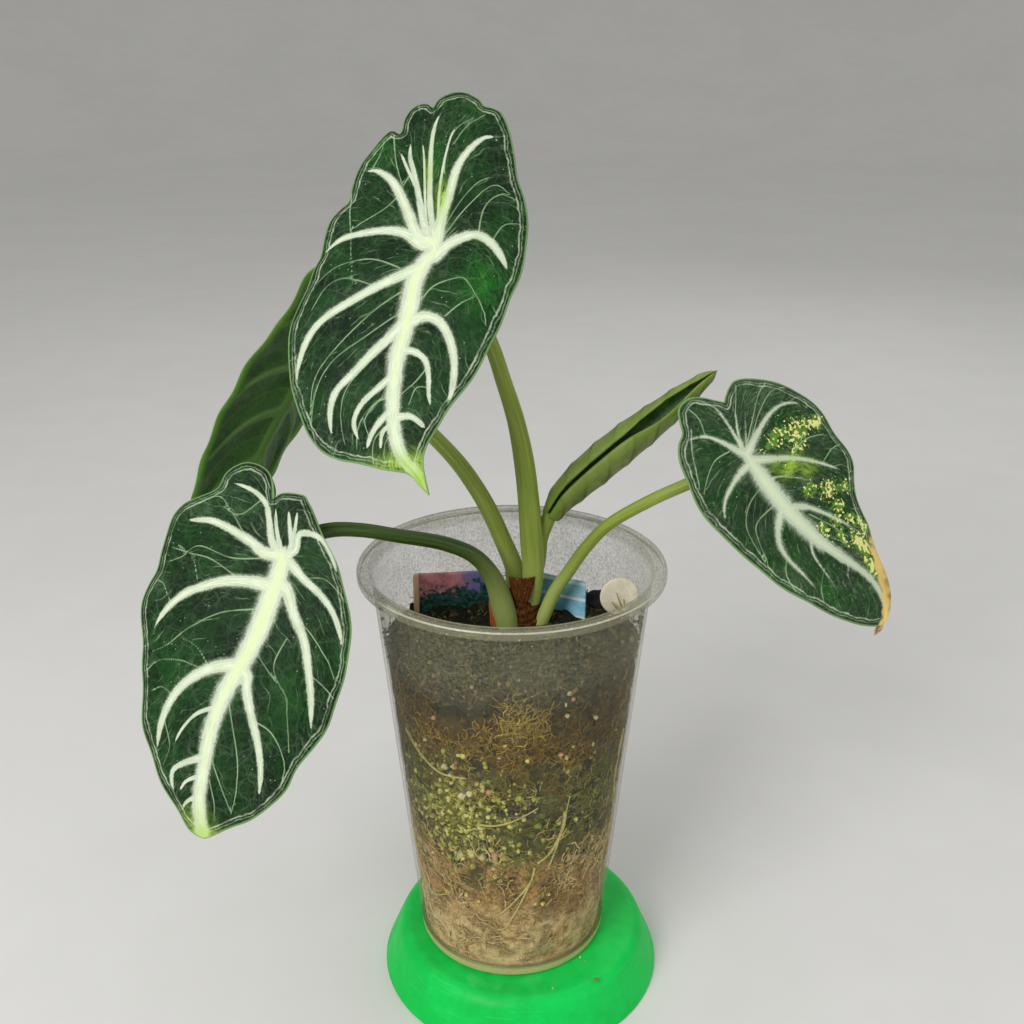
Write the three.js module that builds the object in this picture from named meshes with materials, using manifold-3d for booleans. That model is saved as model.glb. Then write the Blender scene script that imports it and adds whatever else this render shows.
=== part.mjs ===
// A small variegated jewel alocasia in a clear cup that stands on an upturned saucer.
// Millimetres, +Z up. Everything is drawn about the cup's own axis with z = 0 where the saucer stands, and the
// whole plant is moved at the end so that the origin is the middle of its footprint.
import * as THREE from "three";
import { mergeVertices } from "three/addons/utils/BufferGeometryUtils.js";
import Module from "manifold-3d";

const wasm = await Module();
wasm.setup();

const { PI, sin, cos, max, min, ceil } = Math;

// Driving dimensions
const GAP = 0.3; // between pieces that touch
const ROUND_SEGMENTS = 48;

const SAUCER = {
  height: 16.2,
  footRadius: 48.2,
  topRadius: 42.3,
  shoulder: 2.6,
  wall: 2,
  offsetX: 3,
};

const CUP = {
  height: 136,
  footRadius: 31.3,
  mouthRadius: 43.9,
  flangeRadius: 48,
  flangeDrop: 2.9,
  wall: 0.9,
  footHeight: 2.2,
  footWidth: 3.2,
  floor: 1,
};
CUP.base = SAUCER.height + GAP;
CUP.taper = (CUP.mouthRadius - CUP.footRadius) / CUP.height;

const SOIL = { level: 128.6, lump: 1, rings: 8 };

const CROWN = { x: 3.2, y: 7, bottom: 113, top: 142, radius: 6.4 };

const LEAF = {
  thickness: 0.9,
  marginThickness: 0.7,
  ribDepth: 0.8,
  midribDepth: 1.3,
  groove: 0.4,
  pillow: 0.6,
  wave: 0.5,
  waveLength: 17,
  spacing: 4.6,
  rows: 4,
};

const LABEL = { thickness: 0.8, top: 141.5, bottom: 119 };

const ROUND_TAG = { radius: 6.3, thickness: 1.1, centre: [34.3, 5.5, 137.4], lean: 4, yaw: 8 };

const SOIL_COLOUR = 0x6b5a2c;
const DARK_LEAF = 0x16381f;
const PALE_STALK = 0x86a043;

// Solids

function solidOf(geometry) {
  const bare = geometry.clone();
  bare.deleteAttribute("normal");
  bare.deleteAttribute("uv");
  const merged = mergeVertices(bare, 1e-4);
  const corners = merged.index.array;
  const faces = [];
  for (let i = 0; i < corners.length; i += 3) {
    const [a, b, c] = corners.slice(i, i + 3);
    if (a !== b && b !== c && c !== a) faces.push([a, b, c]);
  }
  const build = (list) =>
    new wasm.Manifold(
      new wasm.Mesh({
        numProp: 3,
        vertProperties: merged.attributes.position.array,
        triVerts: new Uint32Array(list.flat()),
      }),
    );
  const solid = build(faces);
  return solid.volume() < 0 ? build(faces.map(([a, b, c]) => [a, c, b])) : solid;
}

function largest(solid) {
  return solid.decompose().reduce((best, piece) => (piece.volume() > best.volume() ? piece : best));
}

function cut(solid, tools) {
  return largest(tools.reduce((rest, tool) => rest.subtract(tool), solid));
}

function meshOf(name, solid, colour, roughness, extra = {}) {
  const { vertProperties, triVerts } = solid.getMesh();
  const geometry = new THREE.BufferGeometry();
  geometry.setAttribute("position", new THREE.BufferAttribute(new Float32Array(vertProperties), 3));
  geometry.setIndex(new THREE.BufferAttribute(new Uint32Array(triVerts), 1));
  geometry.computeVertexNormals();
  const material = new THREE.MeshStandardMaterial({ color: colour, roughness, metalness: 0, ...extra });
  const mesh = new THREE.Mesh(geometry, material);
  mesh.name = name;
  return mesh;
}

// A solid of revolution about Z from [radius, height] pairs that start and end on the axis or close on themselves.
function turned(profile, segments = ROUND_SEGMENTS) {
  const points = profile.map(([radius, height]) => new THREE.Vector2(radius, height));
  return solidOf(new THREE.LatheGeometry(points, segments).rotateX(PI / 2));
}

// Triangles that fill a ring of points: a fan for a round section, strips from edge to edge for a thin one.
const fanCap = (around) => Array.from({ length: around - 2 }, (_, j) => [0, j + 2, j + 1]);

const stripCap = (around) =>
  Array.from({ length: around / 2 - 1 }, (_, j) => {
    const [a, b, c, d] = [j, j + 1, around - 1 - j, around - 2 - j];
    return [a, c, b, b, c, d];
  });

// A closed solid from a grid of points: rows[i][j] goes once round for j, from one end to the other for i.
function lofted(rows, cap = fanCap) {
  const around = rows[0].length;
  const positions = rows.flat().flatMap((p) => [p.x, p.y, p.z]);
  const index = [];
  for (let i = 0; i + 1 < rows.length; i++) {
    for (let j = 0; j < around; j++) {
      const a = i * around + j;
      const b = i * around + ((j + 1) % around);
      index.push(a, b, a + around, b, b + around, a + around);
    }
  }
  const last = (rows.length - 1) * around;
  const start = cap(around).flat();
  index.push(...start, ...start.map((corner) => corner + last).reverse());
  const geometry = new THREE.BufferGeometry();
  geometry.setAttribute("position", new THREE.Float32BufferAttribute(positions, 3));
  geometry.setIndex(index);
  return solidOf(geometry);
}

// Saucer and cup

// The saucer stands upside down: a flat disc on a flared skirt, open below.
function saucerSolid() {
  const { height, footRadius, topRadius, shoulder, wall } = SAUCER;
  const inner = height - wall;
  return turned([
    [0, height],
    [topRadius - shoulder, height],
    [topRadius - 0.3 * shoulder, height - 0.3 * shoulder],
    [topRadius, height - shoulder],
    [footRadius, 0],
    [footRadius - wall, 0],
    [topRadius - wall, inner - shoulder],
    [topRadius - wall - shoulder, inner],
    [0, inner],
  ]).translate([SAUCER.offsetX, 0, 0]);
}

// Outside radius of the cup's wall at a height above its foot.
const wallRadius = (height) => CUP.footRadius + CUP.taper * height;

// A drinking cup: foot ring, tapering thin wall, and a flange with a short lip that turns down.
function cupSolid() {
  const { height, footRadius, flangeRadius, flangeDrop, wall, footHeight, footWidth, floor } = CUP;
  const neck = height - flangeDrop;
  const profile = [
    [0, footHeight],
    [footRadius - footWidth - 1, footHeight],
    [footRadius - footWidth, 0],
    [footRadius - 0.6, 0],
    [footRadius + 0.1, 0.8],
    [wallRadius(neck), neck],
    [wallRadius(neck) + 0.4, height - 1.1],
    [flangeRadius - 1, height - 1.1],
    [flangeRadius - 1, neck],
    [flangeRadius, neck],
    [flangeRadius, height - 0.6],
    [flangeRadius - 0.6, height],
    [wallRadius(height) + 0.4, height],
    [wallRadius(neck) - wall, neck],
    [wallRadius(footHeight + floor) - wall, footHeight + floor],
    [0, footHeight + floor],
  ];
  return turned(profile).translate([0, 0, CUP.base]);
}

// Height of the soil's uneven top at a place in the cup.
function soilHeight(x, y) {
  const broad = sin(0.19 * x + 1.1) * cos(0.23 * y - 0.4);
  const fine = 0.5 * sin(0.71 * x - 0.52 * y);
  return SOIL.level + SOIL.lump * (broad + fine);
}

function soilSolid() {
  const floor = CUP.base + CUP.footHeight + CUP.floor + GAP;
  const levels = [0, 0.35, 0.7, 1];
  const radiusAt = (z) => wallRadius(z - CUP.base) - CUP.wall - GAP;
  const top = SOIL.level - 2 * SOIL.lump;
  const rows = [];
  const ring = (radius, height) =>
    Array.from({ length: ROUND_SEGMENTS }, (_, j) => {
      const turn = (2 * PI * j) / ROUND_SEGMENTS;
      const x = radius * cos(turn);
      const y = radius * sin(turn);
      return new THREE.Vector3(x, y, typeof height === "number" ? height : height(x, y));
    });
  levels.forEach((share) => {
    const z = floor + share * (top - floor);
    rows.push(ring(radiusAt(z), z));
  });
  const reach = radiusAt(top);
  for (let k = 0; k < SOIL.rings; k++) {
    rows.push(ring(reach * (1 - k / SOIL.rings), soilHeight));
  }
  return lofted(rows);
}

// Stalks

// A tapering round stalk through the given points, each [x, y, z, radius], with extra added to every radius.
function stalk(points, extra = 0, sides = 12, step = 7) {
  const path = new THREE.CatmullRomCurve3(points.map(([x, y, z]) => new THREE.Vector3(x, y, z)));
  const steps = max(3, ceil(path.getLength() / step));
  const frames = path.computeFrenetFrames(steps, false);
  const radii = new THREE.CatmullRomCurve3(points.map((p, i) => new THREE.Vector3(i, p[3], 0)));
  const rows = [];
  for (let i = 0; i <= steps; i++) {
    const share = path.getUtoTmapping(i / steps);
    const centre = path.getPoint(share);
    const radius = radii.getPoint(share).y + extra;
    rows.push(
      Array.from({ length: sides }, (_, j) => {
        const turn = (2 * PI * j) / sides;
        return centre
          .clone()
          .addScaledVector(frames.normals[i], radius * cos(turn))
          .addScaledVector(frames.binormals[i], radius * sin(turn));
      }),
    );
  }
  return lofted(rows);
}

// Centre lines of the leaf stalks from the crown to the underside of each blade.
const STALKS = {
  top: [
    [5.2, 7, 132, 3.5],
    [6.6, 3.5, 146, 3.4],
    [6, 3.3, 158, 3.5],
    [5.1, 5, 170.6, 3.3],
    [3.6, 6, 183.3, 3.1],
    [1.1, 6, 196.1, 2.7],
    [-2.6, 4, 209, 2.4],
    [-6, 1, 220.3, 2.3],
    [-11.8, -3.5, 234, 2.4],
    [-17, -7.2, 243.6, 2.6],
    [-21.6, -11, 251.4, 3],
  ],
  new: [
    [5.5, 8, 137, 2.4],
    [8, 7.5, 148, 2.6],
    [9, 7.6, 157, 2.5],
    [12.2, 8.3, 165, 2.3],
  ],
  back: [
    [0.8, 8.5, 134, 3.2],
    [0.8, 9, 145, 3],
    [-2.9, 11, 154.5, 2.8],
    [-7.8, 14.5, 164.5, 2.75],
    [-12.7, 18, 171.8, 2.7],
    [-17.8, 21.5, 177.8, 2.6],
    [-25, 26, 184.2, 2.5],
    [-34.4, 29.5, 192.4, 2.4],
    [-44, 31, 200, 2.3],
    [-53, 31.4, 206.2, 2.3],
    [-60.6, 34.6, 211.2, 2.4],
  ],
  right: [
    [7.2, 6.6, 121, 2.5],
    [9.9, 4, 130.4, 2.3],
    [13.4, 3, 140, 2.1],
    [17.6, 2, 147.5, 2],
    [23, 0, 157, 1.9],
    [29.8, -2, 165.6, 1.85],
    [41.3, -5, 174.2, 1.85],
    [52.6, -6.5, 180.4, 1.85],
    [62, -6.5, 184.6, 1.9],
    [69.6, -10.6, 189.3, 2],
  ],
  left: [
    [-0.6, 4.6, 120, 4],
    [-1.9, 2, 130, 3.9],
    [-3.6, 0, 139.5, 3.5],
    [-6.6, -3, 149.2, 2.8],
    [-12, -6, 157, 2.4],
    [-21, -9, 162.2, 2.2],
    [-32.9, -15, 167, 2.1],
    [-43.7, -20, 171, 2.1],
    [-52.6, -24.5, 172.7, 2.2],
    [-60.4, -28.5, 170.8, 2.4],
    [-66, -36, 167.6, 2.6],
  ],
};

// The short stem that every stalk leaves from, standing in the soil.
function crownSolid(extra = 0) {
  const { bottom, top, radius } = CROWN;
  const length = top - bottom;
  const profile = [
    [0, 0],
    [0.55, 0.02],
    [0.9, 0.22],
    [1, 0.5],
    [0.97, 0.74],
    [0.78, 0.9],
    [0.4, 0.98],
    [0, 1],
  ];
  const grown = profile.map(([share, height]) => [
    share === 0 ? 0 : share * radius + extra,
    height * length + extra * (2 * height - 1),
  ]);
  return turned(grown, 16).translate([CROWN.x, CROWN.y, bottom]);
}

// A dry papery scale: part of a cone's wall about the crown, from one angle to another, pointed below.
function scaleSolid({ centre, radius, from, to, top, depth, flare, thickness }) {
  const across = 6;
  const down = 4;
  const outer = [];
  const inner = [];
  for (let i = 0; i <= down; i++) {
    const fall = i / down;
    const narrowed = 1 - 0.8 * fall * fall;
    const row = (extra) =>
      Array.from({ length: across + 1 }, (_, j) => {
        const middle = (from + to) / 2;
        const turn = ((middle + (j / across - 0.5) * (to - from) * narrowed) * PI) / 180;
        const reach = radius + flare * (1 - fall) ** 2 + extra;
        return new THREE.Vector3(centre[0] + reach * cos(turn), centre[1] + reach * sin(turn), top - depth * fall);
      });
    outer.push(row(thickness));
    inner.push(row(0).reverse());
  }
  return lofted(outer.map((row, i) => [...row, ...inner[i]]));
}

const FRONT_SCALE = { centre: [3.4, 6], radius: 6.4, from: -128, to: -58, top: 147, depth: 10, flare: 0.4, thickness: 0.8 };
const LOW_SCALE = { centre: [-1.6, 3], radius: 4.7, from: 172, to: 232, top: 137, depth: 12, flare: 0.5, thickness: 0.8 };

// Leaves

// Each blade is drawn flat in its own plane: u to the viewer's right, v towards the lobes, the stalk's end at 0, 0.
// spine runs from the notch between the lobes through the stalk's end to the tip; left and right are the margins
// between the same two points; veins run from the spine outwards, listed from the notch to the tip.
const BLADES = {
  top: {
    attach: [-21.1, -10, 249.9],
    tip: [0.02, -0.66, -0.75],
    face: [-0.14, -0.76, 0.62],
    arch: { tip: 0.0011, lobe: 0.0016 },
    camber: { left: 0.003, right: 0.0065 },
    spine: [
      [-1.2, 49], [-2.2, 43], [-2.4, 34], [-2.2, 22], [-1.4, 10], [0, 0], [-2.7, -4], [-5.5, -9.5],
      [-6.8, -16.8], [-8.6, -25], [-10.5, -32.3], [-11.4, -40.5], [-11.6, -47.7], [-10.9, -54],
      [-9, -59.5], [-5.5, -64], [-2.3, -69.7],
    ],
    left: [
      [-1.2, 49], [-3, 50.6], [-5.5, 50.6], [-8.2, 49], [-9.9, 46], [-10.3, 42.5], [-11, 40.6], [-12.2, 41.6],
      [-13.8, 41.8], [-17.3, 38.6], [-21, 34], [-22.7, 29.5], [-24.5, 23.2], [-25.3, 19.5], [-27.7, 17.2],
      [-30.5, 13.2], [-32.3, 7.7], [-33.2, 2.7], [-34.5, -0.5], [-36.4, -6], [-39.5, -11.4], [-41.4, -17.7],
      [-42, -26], [-40.9, -34], [-38.6, -42.3], [-35.5, -49.5], [-31.8, -54.5], [-27.3, -57.3], [-22.7, -59],
      [-15.5, -61.4], [-10, -62.7], [-7.3, -64], [-4.5, -67.3], [-2.3, -69.7],
    ],
    right: [
      [-1.2, 49], [0.5, 52], [4.5, 54.5], [8.2, 54.5], [11.8, 51.4], [13.6, 48.2], [16.4, 47.3], [18.6, 45.5],
      [20.5, 39.5], [21.8, 31.4], [22.7, 22.3], [24.5, 15], [25.2, 7.7], [24.5, -1.4], [22.7, -9.5],
      [20, -16.8], [16.8, -25], [12.7, -34], [7.3, -42.3], [1.8, -49.5], [-2.3, -55.9], [-3.6, -60.5],
      [-3.2, -65], [-2.3, -69.7],
    ],
    veinsLeft: [
      [[-2.7, 6], [-4.5, 16.8], [-6, 25], [-7.5, 32]],
      [[-4.5, 4], [-7.3, 11.4], [-10, 18.6], [-12.7, 24], [-16.4, 27.7], [-19.5, 28.6]],
      [[-3.6, 1.4], [-8.2, 5.5], [-13.6, 7.3], [-20, 7.7], [-26.4, 7.3], [-30.5, 5]],
      [[-4.5, -6], [-10, -7.7], [-16.4, -10], [-22.7, -12.7], [-30, -16], [-34.5, -19.5], [-37.7, -25]],
      [[-7.3, -20.5], [-11.8, -25], [-17.3, -29.5], [-22.7, -34.5], [-27.3, -38.6], [-29, -43.2], [-30, -48.6]],
      [[-10.9, -36], [-15.5, -39.5], [-20, -43.2], [-22.3, -47.7], [-22.4, -52.3]],
      [[-11.8, -46], [-15, -48.7], [-17.6, -52.4]],
    ],
    veinsRight: [
      [[0.5, 3], [2, 10], [4, 17], [6, 25.5], [9, 31.5], [13, 36], [16, 36.5]],
      [[0, -2.5], [3.5, 0.5], [8, 2.7], [11.8, 3.2], [15.5, 0.5], [18.2, -4], [19.8, -8.6]],
      [[-6.4, -21.4], [-2.7, -20.5], [1, -22.3], [3.6, -26.8], [5, -33.2], [5, -38]],
      [[-9, -29.5], [-5.5, -30.5], [-2.7, -33.2], [-1.8, -37.7], [-1.6, -42]],
      [[-10.9, -48.2], [-7.3, -48.2], [-4.8, -49.8]],
    ],
  },
  left: {
    attach: [-65.5, -35, 167.7],
    tip: [-0.21, -0.46, -0.86],
    face: [-0.2, -0.8, 0.48],
    arch: { tip: 0.0012, lobe: 0.002 },
    camber: { left: 0.0035, right: 0.0045 },
    spine: [
      [-5.6, 17.4], [-4.4, 13.5], [-2.5, 9], [-0.5, 4], [1.4, 0], [0.5, -10], [-1, -20], [-4, -30],
      [-7, -38], [-9, -48], [-9.3, -58], [-9, -68], [-7.5, -74], [-5.5, -79],
    ],
    left: [
      [-5.6, 17.4], [-7.3, 22], [-10, 24.8], [-14.5, 26.2], [-18.6, 25.5], [-22.7, 21.8], [-24.5, 17.3],
      [-30, 13.6], [-34.5, 10.6], [-37.7, 5.9], [-37.7, -2.3], [-38.2, -8.6], [-40, -13.6], [-40.6, -19.5],
      [-39.5, -25.5], [-36.8, -32.3], [-35, -39.5], [-33.2, -47.7], [-30.5, -55], [-25.5, -62.3], [-20, -69],
      [-14.5, -74], [-10, -77.7], [-5.5, -79],
    ],
    right: [
      [-5.6, 17.4], [-4, 18.8], [-1.8, 19.5], [2.7, 19.7], [4.5, 18.2], [8.2, 14], [12.7, 8.2], [17.3, 2.3],
      [20.9, -4], [23.6, -10.5], [25.3, -16.8], [25.6, -24], [25, -33], [24, -40.5], [20.9, -47.7],
      [17.7, -54], [15.5, -60.5], [11.8, -66], [7.3, -70.5], [1.8, -74], [-2.7, -77.3], [-5.5, -79],
    ],
    veinsLeft: [
      [[-2.7, 5], [-5.5, 11.4], [-7.3, 15], [-11, 17.7], [-15.5, 19], [-20, 19.5]],
      [[-4.5, 1.8], [-9, 4], [-13.6, 5.5], [-18, 6.8], [-23.6, 7.7], [-29, 7]],
      [[-3.6, -6.8], [-10, -7.3], [-15.5, -8.6], [-21, -11], [-26.4, -14], [-31, -18.6], [-34, -23.6]],
      [[-5.5, -30.5], [-11, -31.8], [-16.4, -35], [-21, -39.5], [-24, -45], [-25.5, -51.4]],
      [[-11, -57.7], [-15.5, -60], [-18.6, -62.7]],
    ],
    veinsRight: [
      [[4.5, 4], [4.5, 8.6], [8, 9.5], [11.8, 8.2]],
      [[3.6, 0.5], [9, -3.2], [14.5, -6.4], [19, -10.5], [22.3, -16]],
      [[4.5, -6.8], [8.2, -13], [12.7, -19.5], [15.5, -26.8], [17.7, -34], [19, -40.5]],
      [[-1.8, -32.3], [-0.5, -36.8], [2.3, -43], [5.5, -49.5], [7.7, -56], [9.5, -62]],
    ],
  },
  right: {
    attach: [69.5, -10, 188.9],
    tip: [0.68, -0.26, -0.69],
    face: [0, -0.78, 0.62],
    arch: { tip: 0.003, lobe: 0.0025 },
    camber: { left: 0.0065, right: 0.006 },
    spine: [
      [6.5, 17.4], [4.8, 13.5], [2.8, 9], [1, 4], [0, 0], [-1, -8], [-1.5, -16], [-1, -24], [0, -31],
      [2, -38], [4, -44], [5.8, -50], [6.3, -55], [5.5, -60], [3.5, -63.5], [1, -65.8],
    ],
    left: [
      [6.5, 17.4], [4.6, 19.8], [2.5, 22.8], [0, 25], [-2.8, 25.4], [-5.5, 24.6], [-8, 21.5], [-9.6, 19],
      [-12.5, 17.3], [-15.5, 13.5], [-18, 8], [-20, 2], [-21, -4], [-21, -10], [-20.2, -17], [-19.5, -23],
      [-18.3, -30], [-16.3, -37], [-14, -43], [-11.5, -49], [-8.8, -54.5], [-6, -59], [-3, -62.5],
      [-0.5, -64.8], [1, -65.8],
    ],
    right: [
      [6.5, 17.4], [8.3, 18.5], [10.5, 19.4], [13.5, 19.8], [17, 18.2], [20.5, 15], [24, 10.5], [27, 5.5],
      [28.8, 0], [28.8, -6], [27.8, -12], [27.2, -18], [25.4, -23], [22, -27], [18.8, -31], [17, -35],
      [16, -40], [14.3, -44.5], [12.6, -48.5], [11.5, -53], [10.6, -57], [9, -60.5], [6.5, -63],
      [3.5, -64.8], [1, -65.8],
    ],
    veinsLeft: [
      [[-0.8, 4.2], [-2.5, 9.2], [-5, 13.8], [-9, 16.3]],
      [[0, -0.8], [-5, -0.8], [-10, -2], [-14, -3.8], [-16.7, -6.7]],
      [[-2.5, -17], [-7, -20], [-10, -24], [-10.8, -29], [-10.8, -35], [-11, -41]],
      [[-1, -29], [-3.8, -33], [-4.5, -39], [-5.2, -45], [-6.5, -51]],
    ],
    veinsRight: [
      [[1, 2], [5, 3.4], [10, 4.8], [15, 5.6], [20, 5], [24, 2.6]],
      [[1, -1], [5, -4], [9.5, -7.5], [13.5, -11.5], [17, -16], [20, -20.5]],
      [[0.5, -19], [4, -22], [7, -27], [9.5, -32], [12, -38]],
    ],
  },
  back: {
    attach: [-62, 36, 212],
    tip: [-0.54, -0.08, -0.83],
    face: [-0.66, 0.7, 0.4],
    arch: { tip: 0.0008, lobe: 0.002 },
    camber: { left: -0.01, right: 0.002 },
    spine: [[0, 17], [0.2, 12], [0.2, 6], [0, 0], [0.3, -16], [0, -34], [-0.4, -52], [-0.4, -69], [0, -85]],
    left: [
      [0, 17], [-1.5, 22.5], [-5, 27.5], [-9, 29], [-13, 27], [-16.5, 22], [-18.5, 15], [-19, 6],
      [-18.5, -3], [-17.5, -12], [-15.8, -20], [-13.8, -29], [-12.8, -38], [-12.6, -47], [-11.6, -57],
      [-9.5, -67], [-6.5, -75], [-3, -81], [0, -85],
    ],
    right: [
      [0, 17], [2, 24], [5.5, 29.5], [10, 32], [15, 30.8], [19, 26.5], [21.6, 20.5], [21.4, 13], [20.8, 5],
      [22, -2], [24, -9], [24.3, -20], [24.2, -31], [23.2, -40], [20.8, -51], [18.4, -60], [14, -69],
      [8.5, -77], [3.5, -82.5], [0, -85],
    ],
    veinsLeft: [
      [[-1, 4], [-4, 10], [-8, 16], [-12, 19]],
      [[-1, 1], [-6, 4.5], [-11, 5.5], [-15, 5]],
      [[-1, -6], [-6, -8], [-11, -12], [-14, -17]],
      [[-1, -22], [-5, -25], [-8.5, -30], [-10.5, -37]],
      [[-1, -41], [-4, -45], [-7, -52], [-8.5, -60]],
    ],
    veinsRight: [
      [[1, 4], [4, 10], [8, 17], [13, 22]],
      [[1, 0], [6, 3.5], [12, 5], [17, 4]],
      [[1, -8], [7, -10], [14, -14], [20, -20]],
      [[1, -25], [7, -28], [13, -34], [18, -43]],
      [[1, -44], [6, -48], [10, -55], [12, -63]],
    ],
  },
};

function flatCurve(points) {
  const curve = new THREE.SplineCurve(points.map(([u, v]) => new THREE.Vector2(u, v)));
  curve.arcLengthDivisions = 24 * points.length;
  return curve;
}

// Share of a curve's length at its point nearest to the given one.
function nearestShare(curve, point) {
  const tries = 1500;
  let best = 0;
  let nearest = Infinity;
  for (let i = 0; i <= tries; i++) {
    const distance = curve.getPointAt(i / tries).distanceTo(point);
    if (distance < nearest) {
      nearest = distance;
      best = i / tries;
    }
  }
  return best;
}

// Where each vein of one half leaves the spine and meets the margin, as shares of their lengths, with its line.
function veinLines(spine, margin, veins) {
  const lines = [{ start: 0, end: 0, point: spine.getPointAt(0) }];
  const spineStep = 1 / spine.getLength();
  const marginStep = 2 / margin.getLength();
  for (const vein of veins) {
    const points = vein.map(([u, v]) => new THREE.Vector2(u, v));
    const [before, end] = points.slice(-2);
    const runOn = end.clone().sub(before).setLength(3).add(end);
    const previous = lines.at(-1);
    const start = max(nearestShare(spine, points[0]), previous.start + spineStep);
    const meets = max(nearestShare(margin, runOn), previous.end + marginStep);
    const line = [spine.getPointAt(start), ...points.slice(1), margin.getPointAt(meets)];
    lines.push({ start, end: meets, curve: flatCurve(line.map((p) => [p.x, p.y])) });
  }
  lines.push({ start: 1, end: 1, point: spine.getPointAt(1) });
  return lines;
}

// Places along the spine at which the mesh crosses it: every vein's start, and enough between for the margins.
function stations(spine, halves) {
  const marks = [...new Set(halves.flatMap(({ lines }) => lines.map((line) => line.start)))].sort((a, b) => a - b);
  const places = [0];
  const marginShare = (lines, start) => {
    const k = max(1, lines.findIndex((line) => line.start >= start));
    const [a, b] = [lines[k - 1], lines[k]];
    return a.end + ((start - a.start) / (b.start - a.start)) * (b.end - a.end);
  };
  marks.slice(1).forEach((mark, i) => {
    const from = marks[i];
    const spans = halves.map(
      ({ margin, lines }) => (marginShare(lines, mark) - marginShare(lines, from)) * margin.getLength(),
    );
    const count = max(1, ceil(max((mark - from) * spine.getLength(), ...spans) / LEAF.spacing));
    for (let k = 1; k <= count; k++) places.push(from + ((mark - from) * k) / count);
  });
  return places;
}

// One half of a blade at one station: points from the spine to the margin. Between two veins the half is filled
// so that it meets both veins, the spine and the margin exactly (a Coons patch).
function halfRow(spine, margin, lines, start) {
  const k = max(1, lines.findIndex((line) => line.start >= start - 1e-9));
  const [near, far] = [lines[k - 1], lines[k]];
  const a = (start - near.start) / (far.start - near.start);
  const along = (line, b) => (line.curve ? line.curve.getPointAt(b) : line.point.clone());
  const spinePoint = spine.getPointAt(start);
  const marginPoint = margin.getPointAt(near.end + a * (far.end - near.end));
  return Array.from({ length: LEAF.rows + 1 }, (_, i) => {
    const b = i / LEAF.rows;
    const mix = (value) => [
      (1 - a) * value(along(near, b)) + a * value(along(far, b)),
      (1 - b) * value(spinePoint) + b * value(marginPoint),
      (1 - a) * ((1 - b) * value(along(near, 0)) + b * value(along(near, 1))) +
        a * ((1 - b) * value(along(far, 0)) + b * value(along(far, 1))),
    ];
    const blend = (value) => {
      const [veins, ends, corners] = mix(value);
      return veins + ends - corners;
    };
    const onVein = a < 1e-6 || a > 1 - 1e-6;
    return {
      u: blend((p) => p.x),
      v: blend((p) => p.y),
      b,
      rib: onVein ? 1 - 0.7 * b : 0,
      pillow: sin(PI * a) * sin(PI * b),
      edge: near.end + a * (far.end - near.end),
      edgeLength: margin.getLength(),
    };
  });
}

// Height of a blade's upper face over its plane, before the pillows between its veins.
function bladeHeight(blade, u, v) {
  const arch = v < 0 ? blade.arch.tip : blade.arch.lobe;
  const camber = u < 0 ? blade.camber.left : blade.camber.right;
  return -arch * v * v - camber * u * u;
}

// The blade as a closed solid in its own plane: an upper face with pillows between sunken veins, and an
// underside on which the spine and the veins stand out as ribs. Both faces are split into triangles alike.
function bladeSolid(blade) {
  const spine = flatCurve(blade.spine);
  const halves = [
    [blade.left, blade.veinsLeft],
    [blade.right, blade.veinsRight],
  ].map(([points, veins]) => {
    const margin = flatCurve(points);
    return { margin, lines: veinLines(spine, margin, veins) };
  });
  const places = stations(spine, halves);
  const grid = places.map((start) => {
    const [left, right] = halves.map(({ margin, lines }) => halfRow(spine, margin, lines, start));
    const fade = min(1, (1 - start) * 5, start * 8 + 0.2);
    left[0].rib = fade;
    left[0].spine = fade;
    return [...left.slice(1).reverse(), left[0], ...right.slice(1)];
  });
  const across = grid[0].length;
  const upper = [];
  const lower = [];
  grid.forEach((row, j) =>
    row.forEach((cell) => {
      const apex = j === 0 || j === grid.length - 1;
      const wave = LEAF.wave * cell.b ** 3 * sin((2 * PI * cell.edge * cell.edgeLength) / LEAF.waveLength);
      const shape = apex ? 0 : LEAF.pillow * cell.pillow - LEAF.groove * cell.rib + wave;
      const top = bladeHeight(blade, cell.u, cell.v) + shape;
      const body = LEAF.thickness + (LEAF.marginThickness - LEAF.thickness) * cell.b;
      const rib = (cell.spine ? LEAF.midribDepth : LEAF.ribDepth) * cell.rib;
      upper.push(cell.u, cell.v, top);
      lower.push(cell.u, cell.v, top - body - (apex ? 0 : rib));
    }),
  );
  const below = grid.length * across;
  const index = [];
  for (let j = 0; j + 1 < grid.length; j++) {
    for (let i = 0; i + 1 < across; i++) {
      const a = j * across + i;
      const [b, c, d] = [a + 1, a + across, a + across + 1];
      const split = i < LEAF.rows ? [a, b, d, a, d, c] : [a, b, c, b, d, c];
      index.push(...split);
      for (let k = 0; k < 6; k += 3) index.push(split[k] + below, split[k + 2] + below, split[k + 1] + below);
    }
    const left = j * across;
    const right = left + across - 1;
    index.push(left, left + across, left + below, left + across, left + across + below, left + below);
    index.push(right, right + below, right + across, right + across, right + below, right + across + below);
  }
  const geometry = new THREE.BufferGeometry();
  geometry.setAttribute("position", new THREE.Float32BufferAttribute([...upper, ...lower], 3));
  geometry.setIndex(index);
  return solidOf(geometry);
}

// The blade's own frame: x to the viewer's right, y towards the lobes, z out of the upper face.
function bladeMatrix(blade) {
  const up = new THREE.Vector3(...blade.tip).normalize().negate();
  const face = new THREE.Vector3(...blade.face);
  const normal = face.addScaledVector(up, -face.dot(up)).normalize();
  const right = new THREE.Vector3().crossVectors(up, normal);
  return new THREE.Matrix4().makeBasis(right, up, normal).setPosition(...blade.attach);
}

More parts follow.
